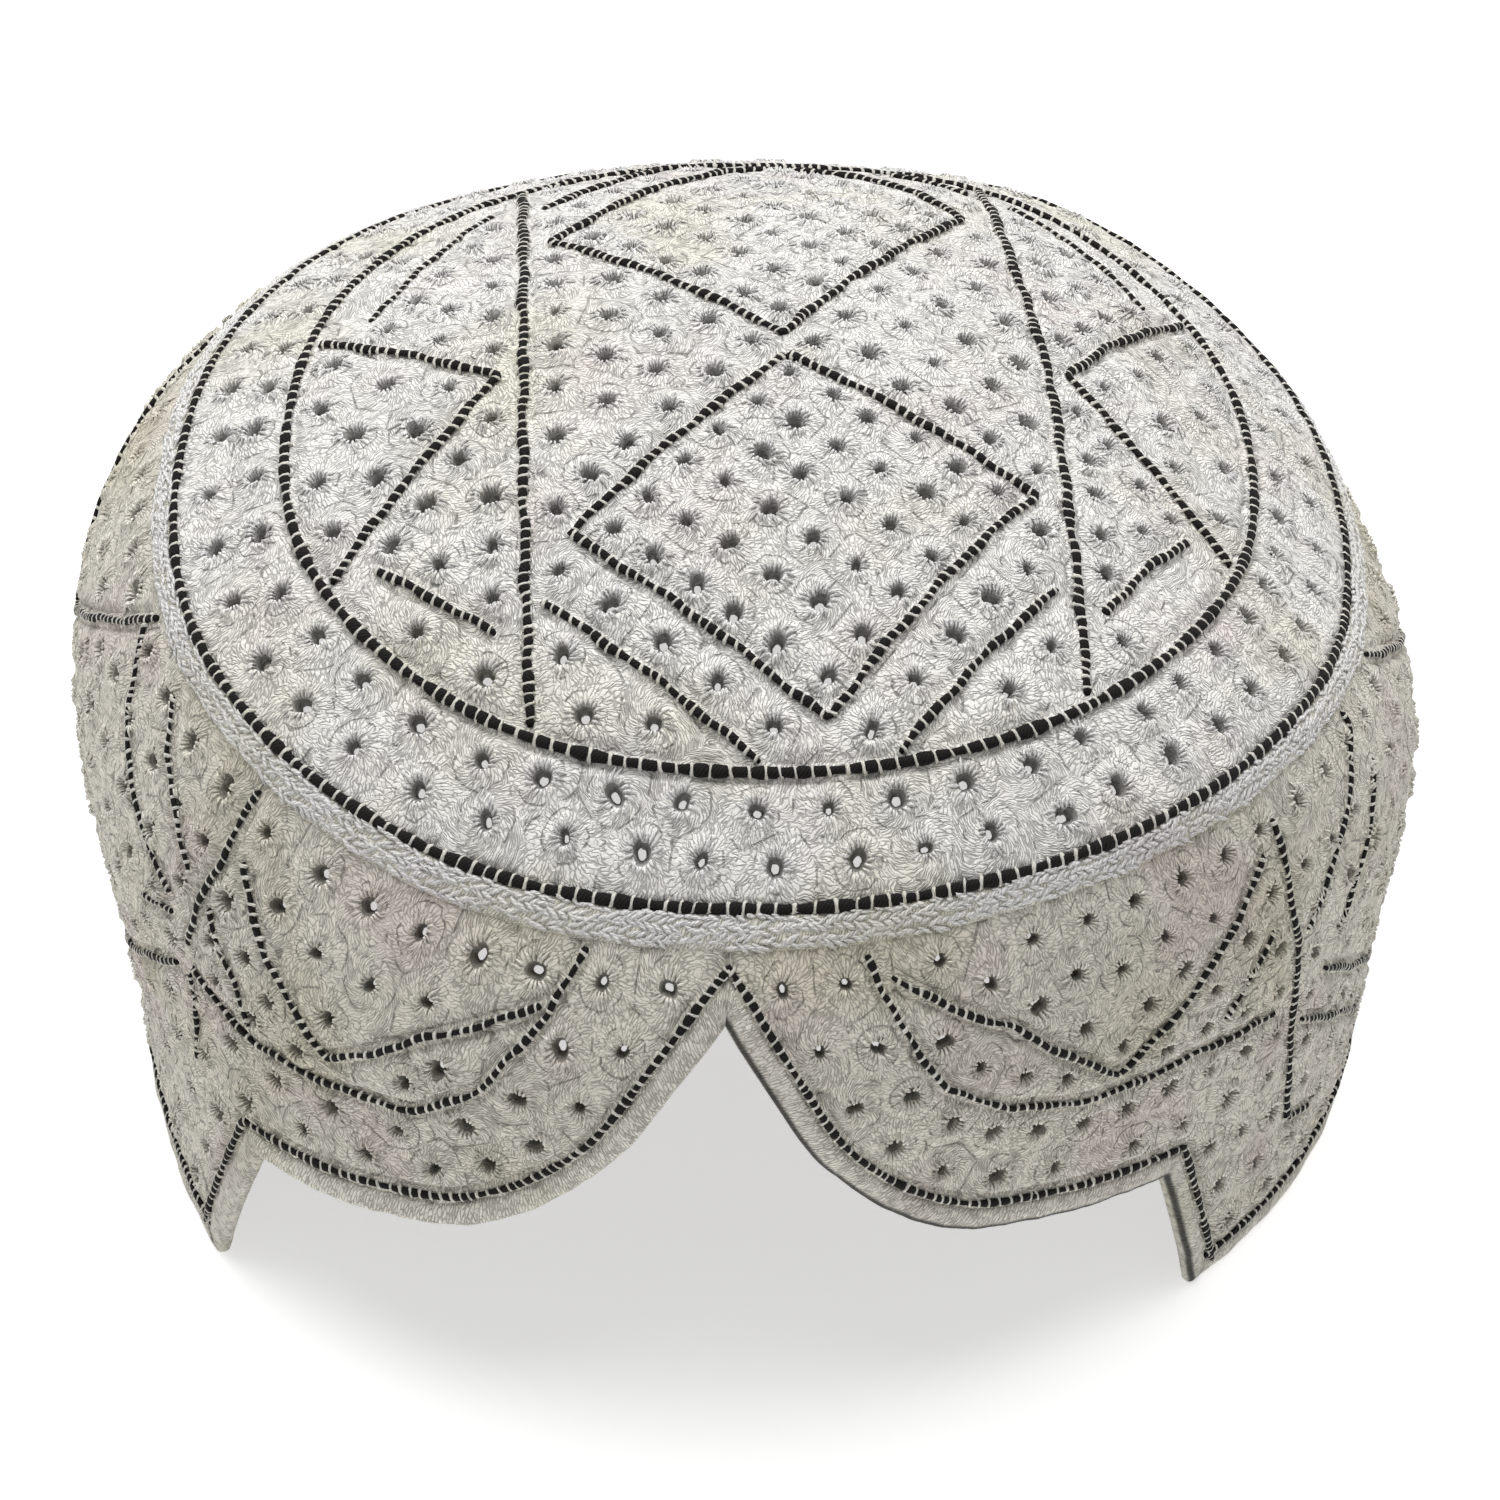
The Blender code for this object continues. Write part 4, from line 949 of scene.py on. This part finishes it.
crownMiddles = crownEyelets()
bandMiddles = bandEyelets()
print("eyelets:", len(crownMiddles), "on the crown,", len(bandMiddles), "on the band")


def buildCrownCloth():
    azimuth = np.arange(0, 360, 2.0)
    outline = onCircle(azimuth, 0.999 * formAt(azimuth)[0])
    rims = eyeletRims(len(crownMiddles))
    bulge = np.clip(1 + clothLook["bulge"] * rng.normal(0, 1, len(rims)), 0.4, 1.8)
    lines = list(onCrown.values())
    flat, faces = layOutSheet(outline, crownMiddles, rims, offsetLines(lines))
    near = inChunks(lambda points: twoNearest(points, crownMiddles), flat)
    starts, ends = segmentsOf([line if len(line) < 20 else line[::2] for line in lines])
    outer, _ = crownSurface(flat, clothLift(flat, near, rims, bulge, starts, ends))
    inner, _ = crownSurface(drawnIn(flat, near, crownMiddles, rims), clothLook["inner"])
    number = rng.uniform(0, 1, len(rims))
    piece = clothPiece("crown_cloth", faces, flat, outer, inner, crownMiddles, number, near, 0.0,
                       whiteStitches)
    dress(piece, "cloth", "crown_panel")
    return crownMiddles, rims, bulge


def buildBandCloth():
    turn = 360 * unroll
    lower = insetHem(hem, clothLook["hemInset"])[::2]
    azimuth = np.linspace(lower[0, 0] + turn, lower[0, 0], 181) / unroll
    upper = np.stack([azimuth * unroll, ringHeight(azimuth) - clothLook["ringDrop"]], -1)
    outline = np.concatenate([lower, [lower[0] + (turn, 0)], upper])
    middles = bandMiddles.copy()
    low = lower[0, 0]
    middles[:, 0] = (middles[:, 0] - low) % turn + low
    # no eyelet straddles the join at the notch, and the line of the join has the same points at both ends
    past = middles[:, 0] - low
    middles = middles[(past > clothLook["clearOfJoin"]) & (past < turn - clothLook["clearOfJoin"])]
    rims = eyeletRims(len(middles))
    bulge = np.clip(1 + clothLook["bulge"] * rng.normal(0, 1, len(rims)), 0.4, 1.8)
    lines = [*onBand.values(), *onBandMedium.values(), *onBandFine.values(), closedHemCord]
    doubled = [line + (k * turn, 0) for line in lines for k in (-1, 0, 1)]
    doubled = [line for line in doubled if line[:, 0].max() > low - 5 and line[:, 0].min() < low + turn + 5]
    guides = offsetLines(doubled)
    guides = guides[(guides[:, 0] > low + 0.6) & (guides[:, 0] < low + turn - 0.6)]
    flat, faces = layOutSheet(outline, middles, rims, guides)
    others = np.vstack([middles, middles + (turn, 0), middles - (turn, 0)])
    near = inChunks(lambda points: twoNearest(points, others), flat)
    near[:, 0] %= len(middles)
    starts, ends = segmentsOf([line if len(line) < 20 else line[::2] for line in doubled])
    lift = clothLift(flat, near, rims, bulge, starts, ends)
    depth, fromDrop, run = clothLook["underSeam"]
    drop = ringHeight(flat[:, 0] / unroll) - flat[:, 1]
    lift = lift - depth * np.exp(-np.maximum(drop - fromDrop, 0) / run)
    outer, _ = bandSurface(flat, lift)
    inner, _ = bandSurface(drawnIn(flat, near, middles, rims), clothLook["inner"])
    number = rng.uniform(0, 1, len(rims))
    faces = closeTurn(flat, faces)
    centre = (flat[faces][:, 0, 0] - low) / turn * 360
    thirds = (("band_cloth_right", 0, 120), ("band_cloth_back", 120, 240), ("band_cloth_left", 240, 361))
    for name, start, end in thirds:
        part = faces[(centre >= start) & (centre < end)]
        piece = clothPiece(name, part, flat, outer, inner, middles, number, near, turn, yellowedShadedStitches)
        dress(piece, "cloth", "side_band")
    return middles, rims, bulge


crownHoles = buildCrownCloth()
bandHoles = buildBandCloth()
print("cloth made")


def tubeTemplate(rows, sides, loop):
    # triangles of a tube, as row and column of each corner; an open tube closes on two end points
    k, j = np.meshgrid(np.arange(rows if loop else rows - 1), np.arange(sides), indexing="ij")
    row = np.stack([k, k, k + 1, k + 1], -1).reshape(-1, 4)
    column = np.stack([j, j + 1, j + 1, j], -1).reshape(-1, 4)
    row = np.concatenate([row[:, [0, 1, 2]], row[:, [0, 2, 3]]])
    column = np.concatenate([column[:, [0, 1, 2]], column[:, [0, 2, 3]]])
    index = (row % rows) * sides + column % sides
    if not loop:
        j = np.arange(sides)
        first, last = rows * sides + 0 * j, rows * sides + 1 + 0 * j
        end = (rows - 1) * sides
        index = np.vstack([index, np.stack([first, (j + 1) % sides, j], -1),
                           np.stack([last, end + j, end + (j + 1) % sides], -1)])
        row = np.vstack([row, np.stack([0 * j] * 3, -1), np.stack([0 * j + rows - 1] * 3, -1)])
        column = np.vstack([column, np.stack([j, j + 1, j], -1), np.stack([j, j, j + 1], -1)])
    return index, row, column


def strands(path, across, up, wide, high, sides, stepAcross, loop=False):
    # many threads at once, each of the same number of sections:
    # section = path + wide * cos(angle) * across + high * sin(angle) * up
    count, rows, _ = path.shape
    angle = np.pi / 2 + np.arange(sides) * 2 * np.pi / sides
    section = (path[:, :, None] + (wide[..., None] * np.cos(angle))[..., None] * across[:, :, None]
               + (high[..., None] * np.sin(angle))[..., None] * up[:, :, None])
    points = section.reshape(count, -1, 3)
    if not loop:
        points = np.concatenate([points, path[:, :1], path[:, -1:]], 1)
    index, row, column = tubeTemplate(rows, sides, loop)
    faces = (index[None] + (np.arange(count) * points.shape[1])[:, None, None]).reshape(-1, 3)
    gaps = np.linalg.norm(np.diff(np.concatenate([path, path[:, :1]], 1), axis=1), axis=-1)
    run = np.concatenate([np.zeros((count, 1)), np.cumsum(gaps, 1)], 1)
    corners = np.stack([np.broadcast_to(column * stepAcross, (count, *column.shape)), run[:, row]], -1)
    return points.reshape(-1, 3), faces, corners.reshape(-1, 3, 2)


def gather(parts):
    # several meshes into one
    first = np.cumsum([0] + [len(points) for points, _, _ in parts[:-1]])
    points, faces, corners = zip(*parts)
    return np.vstack(points), np.vstack([f + k for f, k in zip(faces, first)]), np.vstack(corners)


rimStitchLook = {
    "perEyelet": 15, "width": 0.47, "thick": 0.18, "swirl": 0.14,
    "cover": 0.55,  # how far a stitch widens with the size of its eyelet
    # along a stitch: mm beyond the rim, lift, share of the width
    "path": ((-0.04, -0.5, 0.95), (0.1, 0.14, 1.05), (0.65, 0.46, 1.0), (1.6, -0.02, 0.45)),
}


def rimStitches(middles, rims, bulge, surface, seed):
    # short threads over the edge of each eyelet, from inside the hole outwards:
    # middle + (rim + beyond) * (cos, sin)(angle + swirl * beyond), raised by lift * bulge
    local = np.random.default_rng(seed)
    look = rimStitchLook
    count, number = len(middles), look["perEyelet"]
    beyond, lift, taper = np.array(look["path"]).T
    share = np.arange(number) + local.uniform(0, 1, (count, 1)) + local.normal(0, 0.17, (count, number))
    angle = (share * 2 * np.pi / number).ravel()
    index = np.repeat(np.arange(count), number)
    rim = rimRadius(rims, index, spokesAt(angle))
    swirl = local.normal(0, look["swirl"], count)[index] + local.normal(0, 0.07, len(index))
    reach = beyond * (1 + local.normal(0, 0.14, (len(index), 1)))
    spokes = spokesAt(angle[:, None] + swirl[:, None] * beyond)
    flat = middles[index][:, None] + (rim[:, None] + reach)[..., None] * spokes
    rise = np.where(lift > 0, lift * bulge[index][:, None], lift) + local.normal(0, 0.04, (len(index), 1))
    path, up = surface(flat, rise)
    tangent = unit(np.gradient(path, axis=1))
    across = unit(np.cross(up, tangent))
    girth = 1 + look["cover"] * (rims.mean(1)[index] - 1)[:, None]
    wide = look["width"] / 2 * girth * taper * (1 + local.normal(0, 0.12, (len(index), 1)))
    return strands(path, across, up, wide, look["thick"] * taper + 0 * wide, 3, 0.25)


def buildRimStitches():
    middles, rims, bulge = bandHoles
    half = middles[:, 0] > np.median(middles[:, 0])
    groups = (
        ("crown_rim_stitches", crownHoles, crownSurface, seamThread),
        ("band_rim_stitches_right", (middles[~half], rims[~half], bulge[~half]), bandSurface, wornThread),
        ("band_rim_stitches_left", (middles[half], rims[half], bulge[half]), bandSurface, wornThread),
    )
    for seed, (name, holes, surface, thread) in enumerate(groups):
        points, faces, corners = rimStitches(*holes, surface, 900 + seed)
        dress(makeMesh(name, points, faces, {"stitch": corners}, thread), "seam_thread")


buildRimStitches()
print("eyelets worked round")

cordLooks = {
    # mm: width and height of a black block, distance between ties, width of a tie
    "ring": {"width": 1.28, "height": 0.98, "pitch": 1.72, "tie": 0.56},
    "chord": {"width": 1.3, "height": 0.9, "pitch": 1.6, "tie": 0.5},
    "crown": {"width": 1.15, "height": 0.85, "pitch": 1.52, "tie": 0.5},
    "hem": {"width": 1.0, "height": 0.75, "pitch": 1.5, "tie": 0.46},
    "band": {"width": 0.94, "height": 0.7, "pitch": 1.52, "tie": 0.5},
    "medium": {"width": 0.82, "height": 0.62, "pitch": 1.45, "tie": 0.48},
    "fine": {"width": 0.72, "height": 0.56, "pitch": 1.4, "tie": 0.5},
    # cords that are thicker or thinner than the others of their surface
    "own": {
        "inner_ring_cord": "ring", "outer_ring_cord": "ring", "chord_cord_left": "chord",
        "chord_cord_right": "chord", "side_cord_back_left": "fine", "side_cord_back_right": "medium",
        "arc_cord_right": "medium",
    },
    "ringFront": 0.24,  # share by which a ring is thicker, and its ties farther apart, in front than beside
    "sink": 0.34,  # share of a cord's height that lies below the cloth's outer face
    "places": (0.0, 0.32, 0.5, 0.68), "swell": (1.0, 0.97, 0.6, 0.97),  # along one pitch: drawn in at the tie
    "wobble": 0.16,  # mm sideways
    "thickening": 0.3, "thickWaves": (17.0, 7.3),  # how much it thickens and thins, in waves so long
    # a tie: mm beyond the cord's side, mm over its top, and mm into the cloth at its ends
    "tieBeyond": 0.2, "tieOver": 0.12, "tieDepth": 0.4,
}


def waver(line, run, seed):
    # a hand-made wobble across the line: three sine waves, fading out at the ends
    phase = np.random.default_rng(seed).uniform(0, 6.28, 3)
    lengths = np.array([13.0, 5.6, 27.0])
    wave = (np.sin(run[:, None] * 2 * np.pi / lengths + phase) / (1.0, 2.0, 3.0)).sum(1)
    along = np.gradient(line, axis=0)
    across = unit(np.stack([-along[:, 1], along[:, 0]], -1))
    fade = np.clip(np.minimum(run, run[-1] - run) / 4.0, 0, 1)
    return line + (cordLooks["wobble"] * wave * fade)[:, None] * across


def couchCord(name, line, surface, look, node=None, loop=False, seed=0):
    # the black cord, as a tube drawn in at each tie; gives back the places of the ties
    local = np.random.default_rng(seed)
    spots = surface(line)[0]
    run = runAlong(spots)
    ties = max(2, round(run[-1] / look["pitch"]))
    pitch = run[-1] / ties
    # a ring's figures grow with the cosine of the azimuth
    growth = cordLooks["ringFront"] if look is cordLooks["ring"] else 0.0
    front = 1 + growth * np.cos(np.radians(azimuthOf(spots)))
    steps = np.interp((np.arange(ties) + 0.5) * pitch, run, front)
    irregular = np.cumsum(steps * np.clip(local.normal(1, 0.17, ties), 0.6, 1.45))
    irregular = np.concatenate([[0], irregular]) * ties / irregular[-1]
    share = np.array(cordLooks["places"])
    at = (irregular[:-1, None] + share * np.diff(irregular)[:, None]).ravel() * pitch
    swell = np.tile(cordLooks["swell"], ties)
    if not loop:
        at = np.append(at, run[-1])
        swell = np.append(swell, 0.6)
        swell[0] = 0.6
    route = np.stack([np.interp(at, run, line[:, k]) for k in (0, 1)], -1)
    if not loop:
        route = waver(route, at, seed)
    points, up = surface(route)
    ahead = points[[*range(1, len(points)), 0]] - points[[-1, *range(len(points) - 1)]]
    if not loop:
        ahead[0], ahead[-1] = points[1] - points[0], points[-1] - points[-2]
    ahead = unit(ahead)
    across = unit(np.cross(up, ahead))
    slow = sum(np.sin(at * 2 * np.pi / wave + local.uniform(0, 6)) for wave in cordLooks["thickWaves"])
    bulk = (1 + cordLooks["thickening"] / 2 * slow) * np.interp(at, run, front)
    swell = swell * bulk
    wide = look["width"] / 2 * swell * (1 + 0.06 * local.normal(0, 1, len(swell)))
    high = look["height"] / 2 * swell
    path = points + (0.5 - cordLooks["sink"]) * look["height"] * up
    if not loop:
        path[0] -= 0.5 * up[0]
        path[-1] -= 0.5 * up[-1]
    mesh = strands(path[None], across[None], up[None], wide[None], high[None], 7, look["width"] * 0.45, loop)
    piece = makeMesh(name, mesh[0], mesh[1], {"stitch": mesh[2]}, blackCord)
    dress(piece, "black_cord", *([node] if node else []))
    middle = slice(2, None, 4)  # the places of the ties
    return points[middle], ahead[middle], across[middle], up[middle], bulk[middle], look, seed


def tieStitches(points, ahead, across, up, bulk, look, seed):
    # a flat white thread over the cord at each tie, both ends in the cloth:
    # across = reach * sin(t pi / 2), up = top * cos(t pi / 2)^0.6 - depth
    local = np.random.default_rng(seed + 500)
    count = len(points)
    t = np.linspace(-1, 1, 5)
    reach = look["width"] / 2 * bulk + cordLooks["tieBeyond"] + local.normal(0, 0.05, count)
    top = look["height"] * (0.5 - cordLooks["sink"] + 0.25 * bulk) + cordLooks["tieOver"]
    depth = cordLooks["tieDepth"]
    sideways = reach[:, None] * np.sin(t * np.pi / 2)
    rise = (top + depth)[:, None] * np.maximum(np.cos(t * np.pi / 2), 0) ** 0.6 - depth
    skew = local.normal(0.2 * (-1) ** seed, 0.13, count)[:, None] * t
    skew = skew + local.normal(0, 0.08, count)[:, None]
    path = (points[:, None] + sideways[..., None] * across[:, None] + rise[..., None] * up[:, None]
            + skew[..., None] * ahead[:, None])
    tangent = unit(np.gradient(path, axis=1))
    outward = unit(np.cross(tangent, ahead[:, None]))
    uneven = np.clip(1 + local.normal(0, 0.2, count), 0.6, 1.6)[:, None]
    wide = look["tie"] / 2 * uneven * np.array([0.6, 0.95, 1.0, 0.95, 0.6])
    return strands(path, outward, np.broadcast_to(ahead[:, None], path.shape), 0.4 * wide, wide, 4, 0.25)


def buildCords():
    crownTies, bandTies = [], []
    ring = seamLine(cordTable["outerRingDrop"])
    # name, line, surface, look, whether it is a loop, whether it stands for a node of its own
    ringName = "inner_ring_cord"
    jobs = [(name, line, crownSurface, "crown", name == ringName, True) for name, line in onCrown.items()]
    jobs += [("outer_ring_cord", ring, bandSurface, "ring", True, True)]
    jobs += [(name, line, bandSurface, "band", False, True) for name, line in onBand.items()]
    jobs += [("hem_cord", closedHemCord, bandSurface, "hem", True, True)]
    jobs += [(name, line, bandSurface, "medium", False, False) for name, line in onBandMedium.items()]
    jobs += [(name, line, bandSurface, "fine", False, False) for name, line in onBandFine.items()]
    for seed, (name, line, surface, look, loop, stands) in enumerate(jobs):
        look = cordLooks[cordLooks["own"].get(name, look)]
        line = line if loop else resample(line, 0.5)
        ties = couchCord(name + "_black", line, surface, look, name if stands else None, loop, seed + 1)
        (crownTies if surface is crownSurface else bandTies).append(ties)
    for name, ties in (("crown_tie_stitches", crownTies), ("band_tie_stitches", bandTies)):
        points, faces, corners = gather([tieStitches(*tie) for tie in ties])
        dress(makeMesh(name, points, faces, {"stitch": corners}, tieThread), "seam_thread")


buildCords()
print("cords couched")

# the hem: the cloth's edge rolled over and oversewn, with a line beside the fold that is pressed into the
# bump and darkened as painted shade
hemRoll = {
    # distance from the edge, lift from the cloth's outer face
    "section": (
        (3.5, -0.3), (3.1, 0.14), (2.4, 0.36), (1.6, 0.4), (0.9, 0.3), (0.4, 0.1), (0.05, -0.3),
        (-0.1, -0.9), (0.0, -1.6), (0.5, -2.15), (1.7, -2.35), (2.9, -2.3), (3.5, -1.7),
    ),
    "lump": 0.2, "lumpWaves": ((0.61, 0.3), (1.07, 1.9), (0.23, 4.0)),  # radians per point, and phase
    "pastFoldShade": 20.0,  # where the map's v starts on cloth that has no pressed, painted-shade line
}


def buildHem():
    section = np.array(hemRoll["section"])
    sides, count = len(section), len(hem)
    index = np.arange(count)
    bumps = sum(np.sin(index * step + phase) for step, phase in hemRoll["lumpWaves"]) / 3
    bumps = hemRoll["lump"] * bumps + np.random.default_rng(5).normal(0, 0.04, count)
    rows = []
    for depth, lift in section:
        place = insetHem(hem, depth)
        place[:, 1] = np.maximum(place[:, 1], 0.0)
        rows.append(bandSurface(place, lift + bumps * (1 if lift > -0.5 else 0.3))[0])
    points = np.stack(rows, 1)
    points[..., 2] = np.maximum(points[..., 2], 0.0)
    template, row, column = tubeTemplate(count, sides, True)
    run = runAlong(np.vstack([points[:, 0], points[:1, 0]]))
    girth = runAlong(np.vstack([section, section[:1]]))
    # the fold's dark line, painted shade where the rolled edge turns from the light, is put on the right lobe
    # alone
    past = hemRoll["pastFoldShade"] * (hem[:, 0] > hemTable["tip"] * unroll)
    corners = np.stack([run[row], girth[column] + past[row.min(1, keepdims=True)]], -1)
    dress(makeMesh("hem_roll", points.reshape(-1, 3), template, {"stitch": corners}, edgeStitches),
          "hem_cloth", "hem_binding")


buildHem()

# the seam under the ring: rows of short slanted stitches over a low ridge, which read as an uneven chain
seamLook = {
    "ridge": ((0.5, -0.6), (0.7, 0.16), (1.3, 0.44), (2.8, 0.44), (3.7, 0.16), (4.1, -0.5), (2.4, -0.9)),
    # drop below the ring, lift, slant across, length and width of a stitch
    "rows": ((0.95, 0.42, -0.2, 1.6, 0.66), (1.5, 0.5, 0.35, 1.8, 0.66), (2.1, 0.5, -0.42, 1.7, 0.68),
             (2.75, 0.44, 0.42, 1.7, 0.66), (3.35, 0.34, -0.3, 1.7, 0.6)),
    "pitch": 1.08, "thick": 0.25, "unevenness": 0.2,
    "bow": 0.16, "sunk": 0.12, "tipRise": 0.14,  # a stitch: bow in its middle, depth, and rise to one tip
    "sway": 0.13, "ridgeMap": (2.9, 1.5),  # wander of a row, and mm of the ridge's map per point
}


def seamStitches(drop, lift, slant, length, width, seed):
    # short threads: path along the seam with its own slant, bowed up in the middle, each a little out of line
    local = np.random.default_rng(seed)
    azimuth = np.linspace(0, 360, 721)
    run = runAlong(bandPoint(azimuth, ringHeight(azimuth)))
    count = round(run[-1] / seamLook["pitch"])
    uneven = seamLook["unevenness"]
    at = (np.arange(count) + local.normal(0, uneven, count)) * run[-1] / count
    middle = np.interp(at % run[-1], run, azimuth)
    perMm = 360 / run[-1]
    t = np.linspace(-0.5, 0.5, 4)
    long = length * (1 + local.normal(0, uneven, count))[:, None]
    lean = (slant + local.normal(0, uneven, count))[:, None]
    place = middle[:, None] + t * long * perMm
    # the whole row wanders a little up and down
    turned = np.radians(middle)
    sway = seamLook["sway"] * (np.sin(turned * 41 + seed) + np.sin(turned * 23 + 2 * seed))
    height = ringHeight(place) - drop + sway[:, None] + t * long * lean
    height = height + local.normal(0, 0.5 * uneven, (count, 1))
    rise = lift + seamLook["bow"] * (1 - (2 * t) ** 2) - seamLook["sunk"]
    rise = rise + seamLook["tipRise"] * np.sign(slant) * t
    rise = rise + local.normal(0, 0.06, (count, 1))
    path, up = bandSurface(np.stack([place * unroll, height], -1), rise)
    tangent = unit(np.gradient(path, axis=1))
    across = unit(np.cross(up, tangent))
    taper = np.array([0.55, 1.0, 0.95, 0.5])
    wide = width / 2 * taper * (1 + local.normal(0, 0.12, (count, 1)))
    return strands(path, across, up, wide, seamLook["thick"] * (0.4 + 0.6 * taper) + 0 * wide, 4, 0.3)


def buildSeam():
    azimuth = np.arange(0, 360, 2.0)
    section = np.array(seamLook["ridge"])
    rows = []
    for drop, lift in section:
        rows.append(bandSurface(np.stack([azimuth * unroll, ringHeight(azimuth) - drop], -1), lift)[0])
    points = np.stack(rows, 1)
    template, row, column = tubeTemplate(len(azimuth), len(section), True)
    mapRow, mapColumn = seamLook["ridgeMap"]
    corners = np.stack([row * mapRow, column * mapColumn + hemRoll["pastFoldShade"]], -1)
    dress(makeMesh("seam_ridge", points.reshape(-1, 3), template, {"stitch": corners}, edgeStitches),
          "seam_thread", "crown_seam")
    points, faces, corners = gather([seamStitches(*row, 20 + k) for k, row in enumerate(seamLook["rows"])])
    dress(makeMesh("seam_chain_stitches", points, faces, {"stitch": corners}, seamThread), "seam_thread")


buildSeam()
print("seam and hem made")

stageLook = {
    "floor": "#e4e4e3", "floorGlow": 0.54, "floorSize": 6.0,
    "key": 27.5, "keySize": 1.8, "keyPlace": (-0.1, 0.45, 1.3), "room": 0.27,
}


def buildStage():
    # a pale floor that glows a little, as a lit acrylic table does, a large soft lamp and a white room
    half = stageLook["floorSize"] / 2 * 1000
    corners = np.array([(-half, -half, 0), (half, -half, 0), (half, half, 0), (-half, half, 0)])
    material, _, shader = newMaterial("paleAcrylicTable", 0.9)
    shader.inputs["Base Color"].default_value = linear(stageLook["floor"])
    shader.inputs["Emission Color"].default_value = (1.0, 1.0, 1.0, 1.0)
    shader.inputs["Emission Strength"].default_value = stageLook["floorGlow"]
    makeMesh("floor", corners, [(0, 1, 2, 3)], {}, material)
    world = bpy.data.worlds.new("softWhiteRoom")
    world.use_nodes = True
    world.node_tree.nodes["Background"].inputs[0].default_value = (1.0, 1.0, 1.0, 1.0)
    world.node_tree.nodes["Background"].inputs[1].default_value = stageLook["room"]
    bpy.context.scene.world = world
    light = bpy.data.lights.new("softbox", "AREA")
    light.shape = "DISK"
    light.size = stageLook["keySize"]
    light.energy = stageLook["key"]
    lamp = bpy.data.objects.new("softbox", light)
    lamp.location = stageLook["keyPlace"]
    lamp.rotation_euler = (Vector((0, 0, 0.05)) - Vector(lamp.location)).to_track_quat("-Z", "Y").to_euler()
    bpy.context.collection.objects.link(lamp)
    bpy.context.scene.view_settings.view_transform = "Standard"  # keeps the cord black and the table white


buildStage()
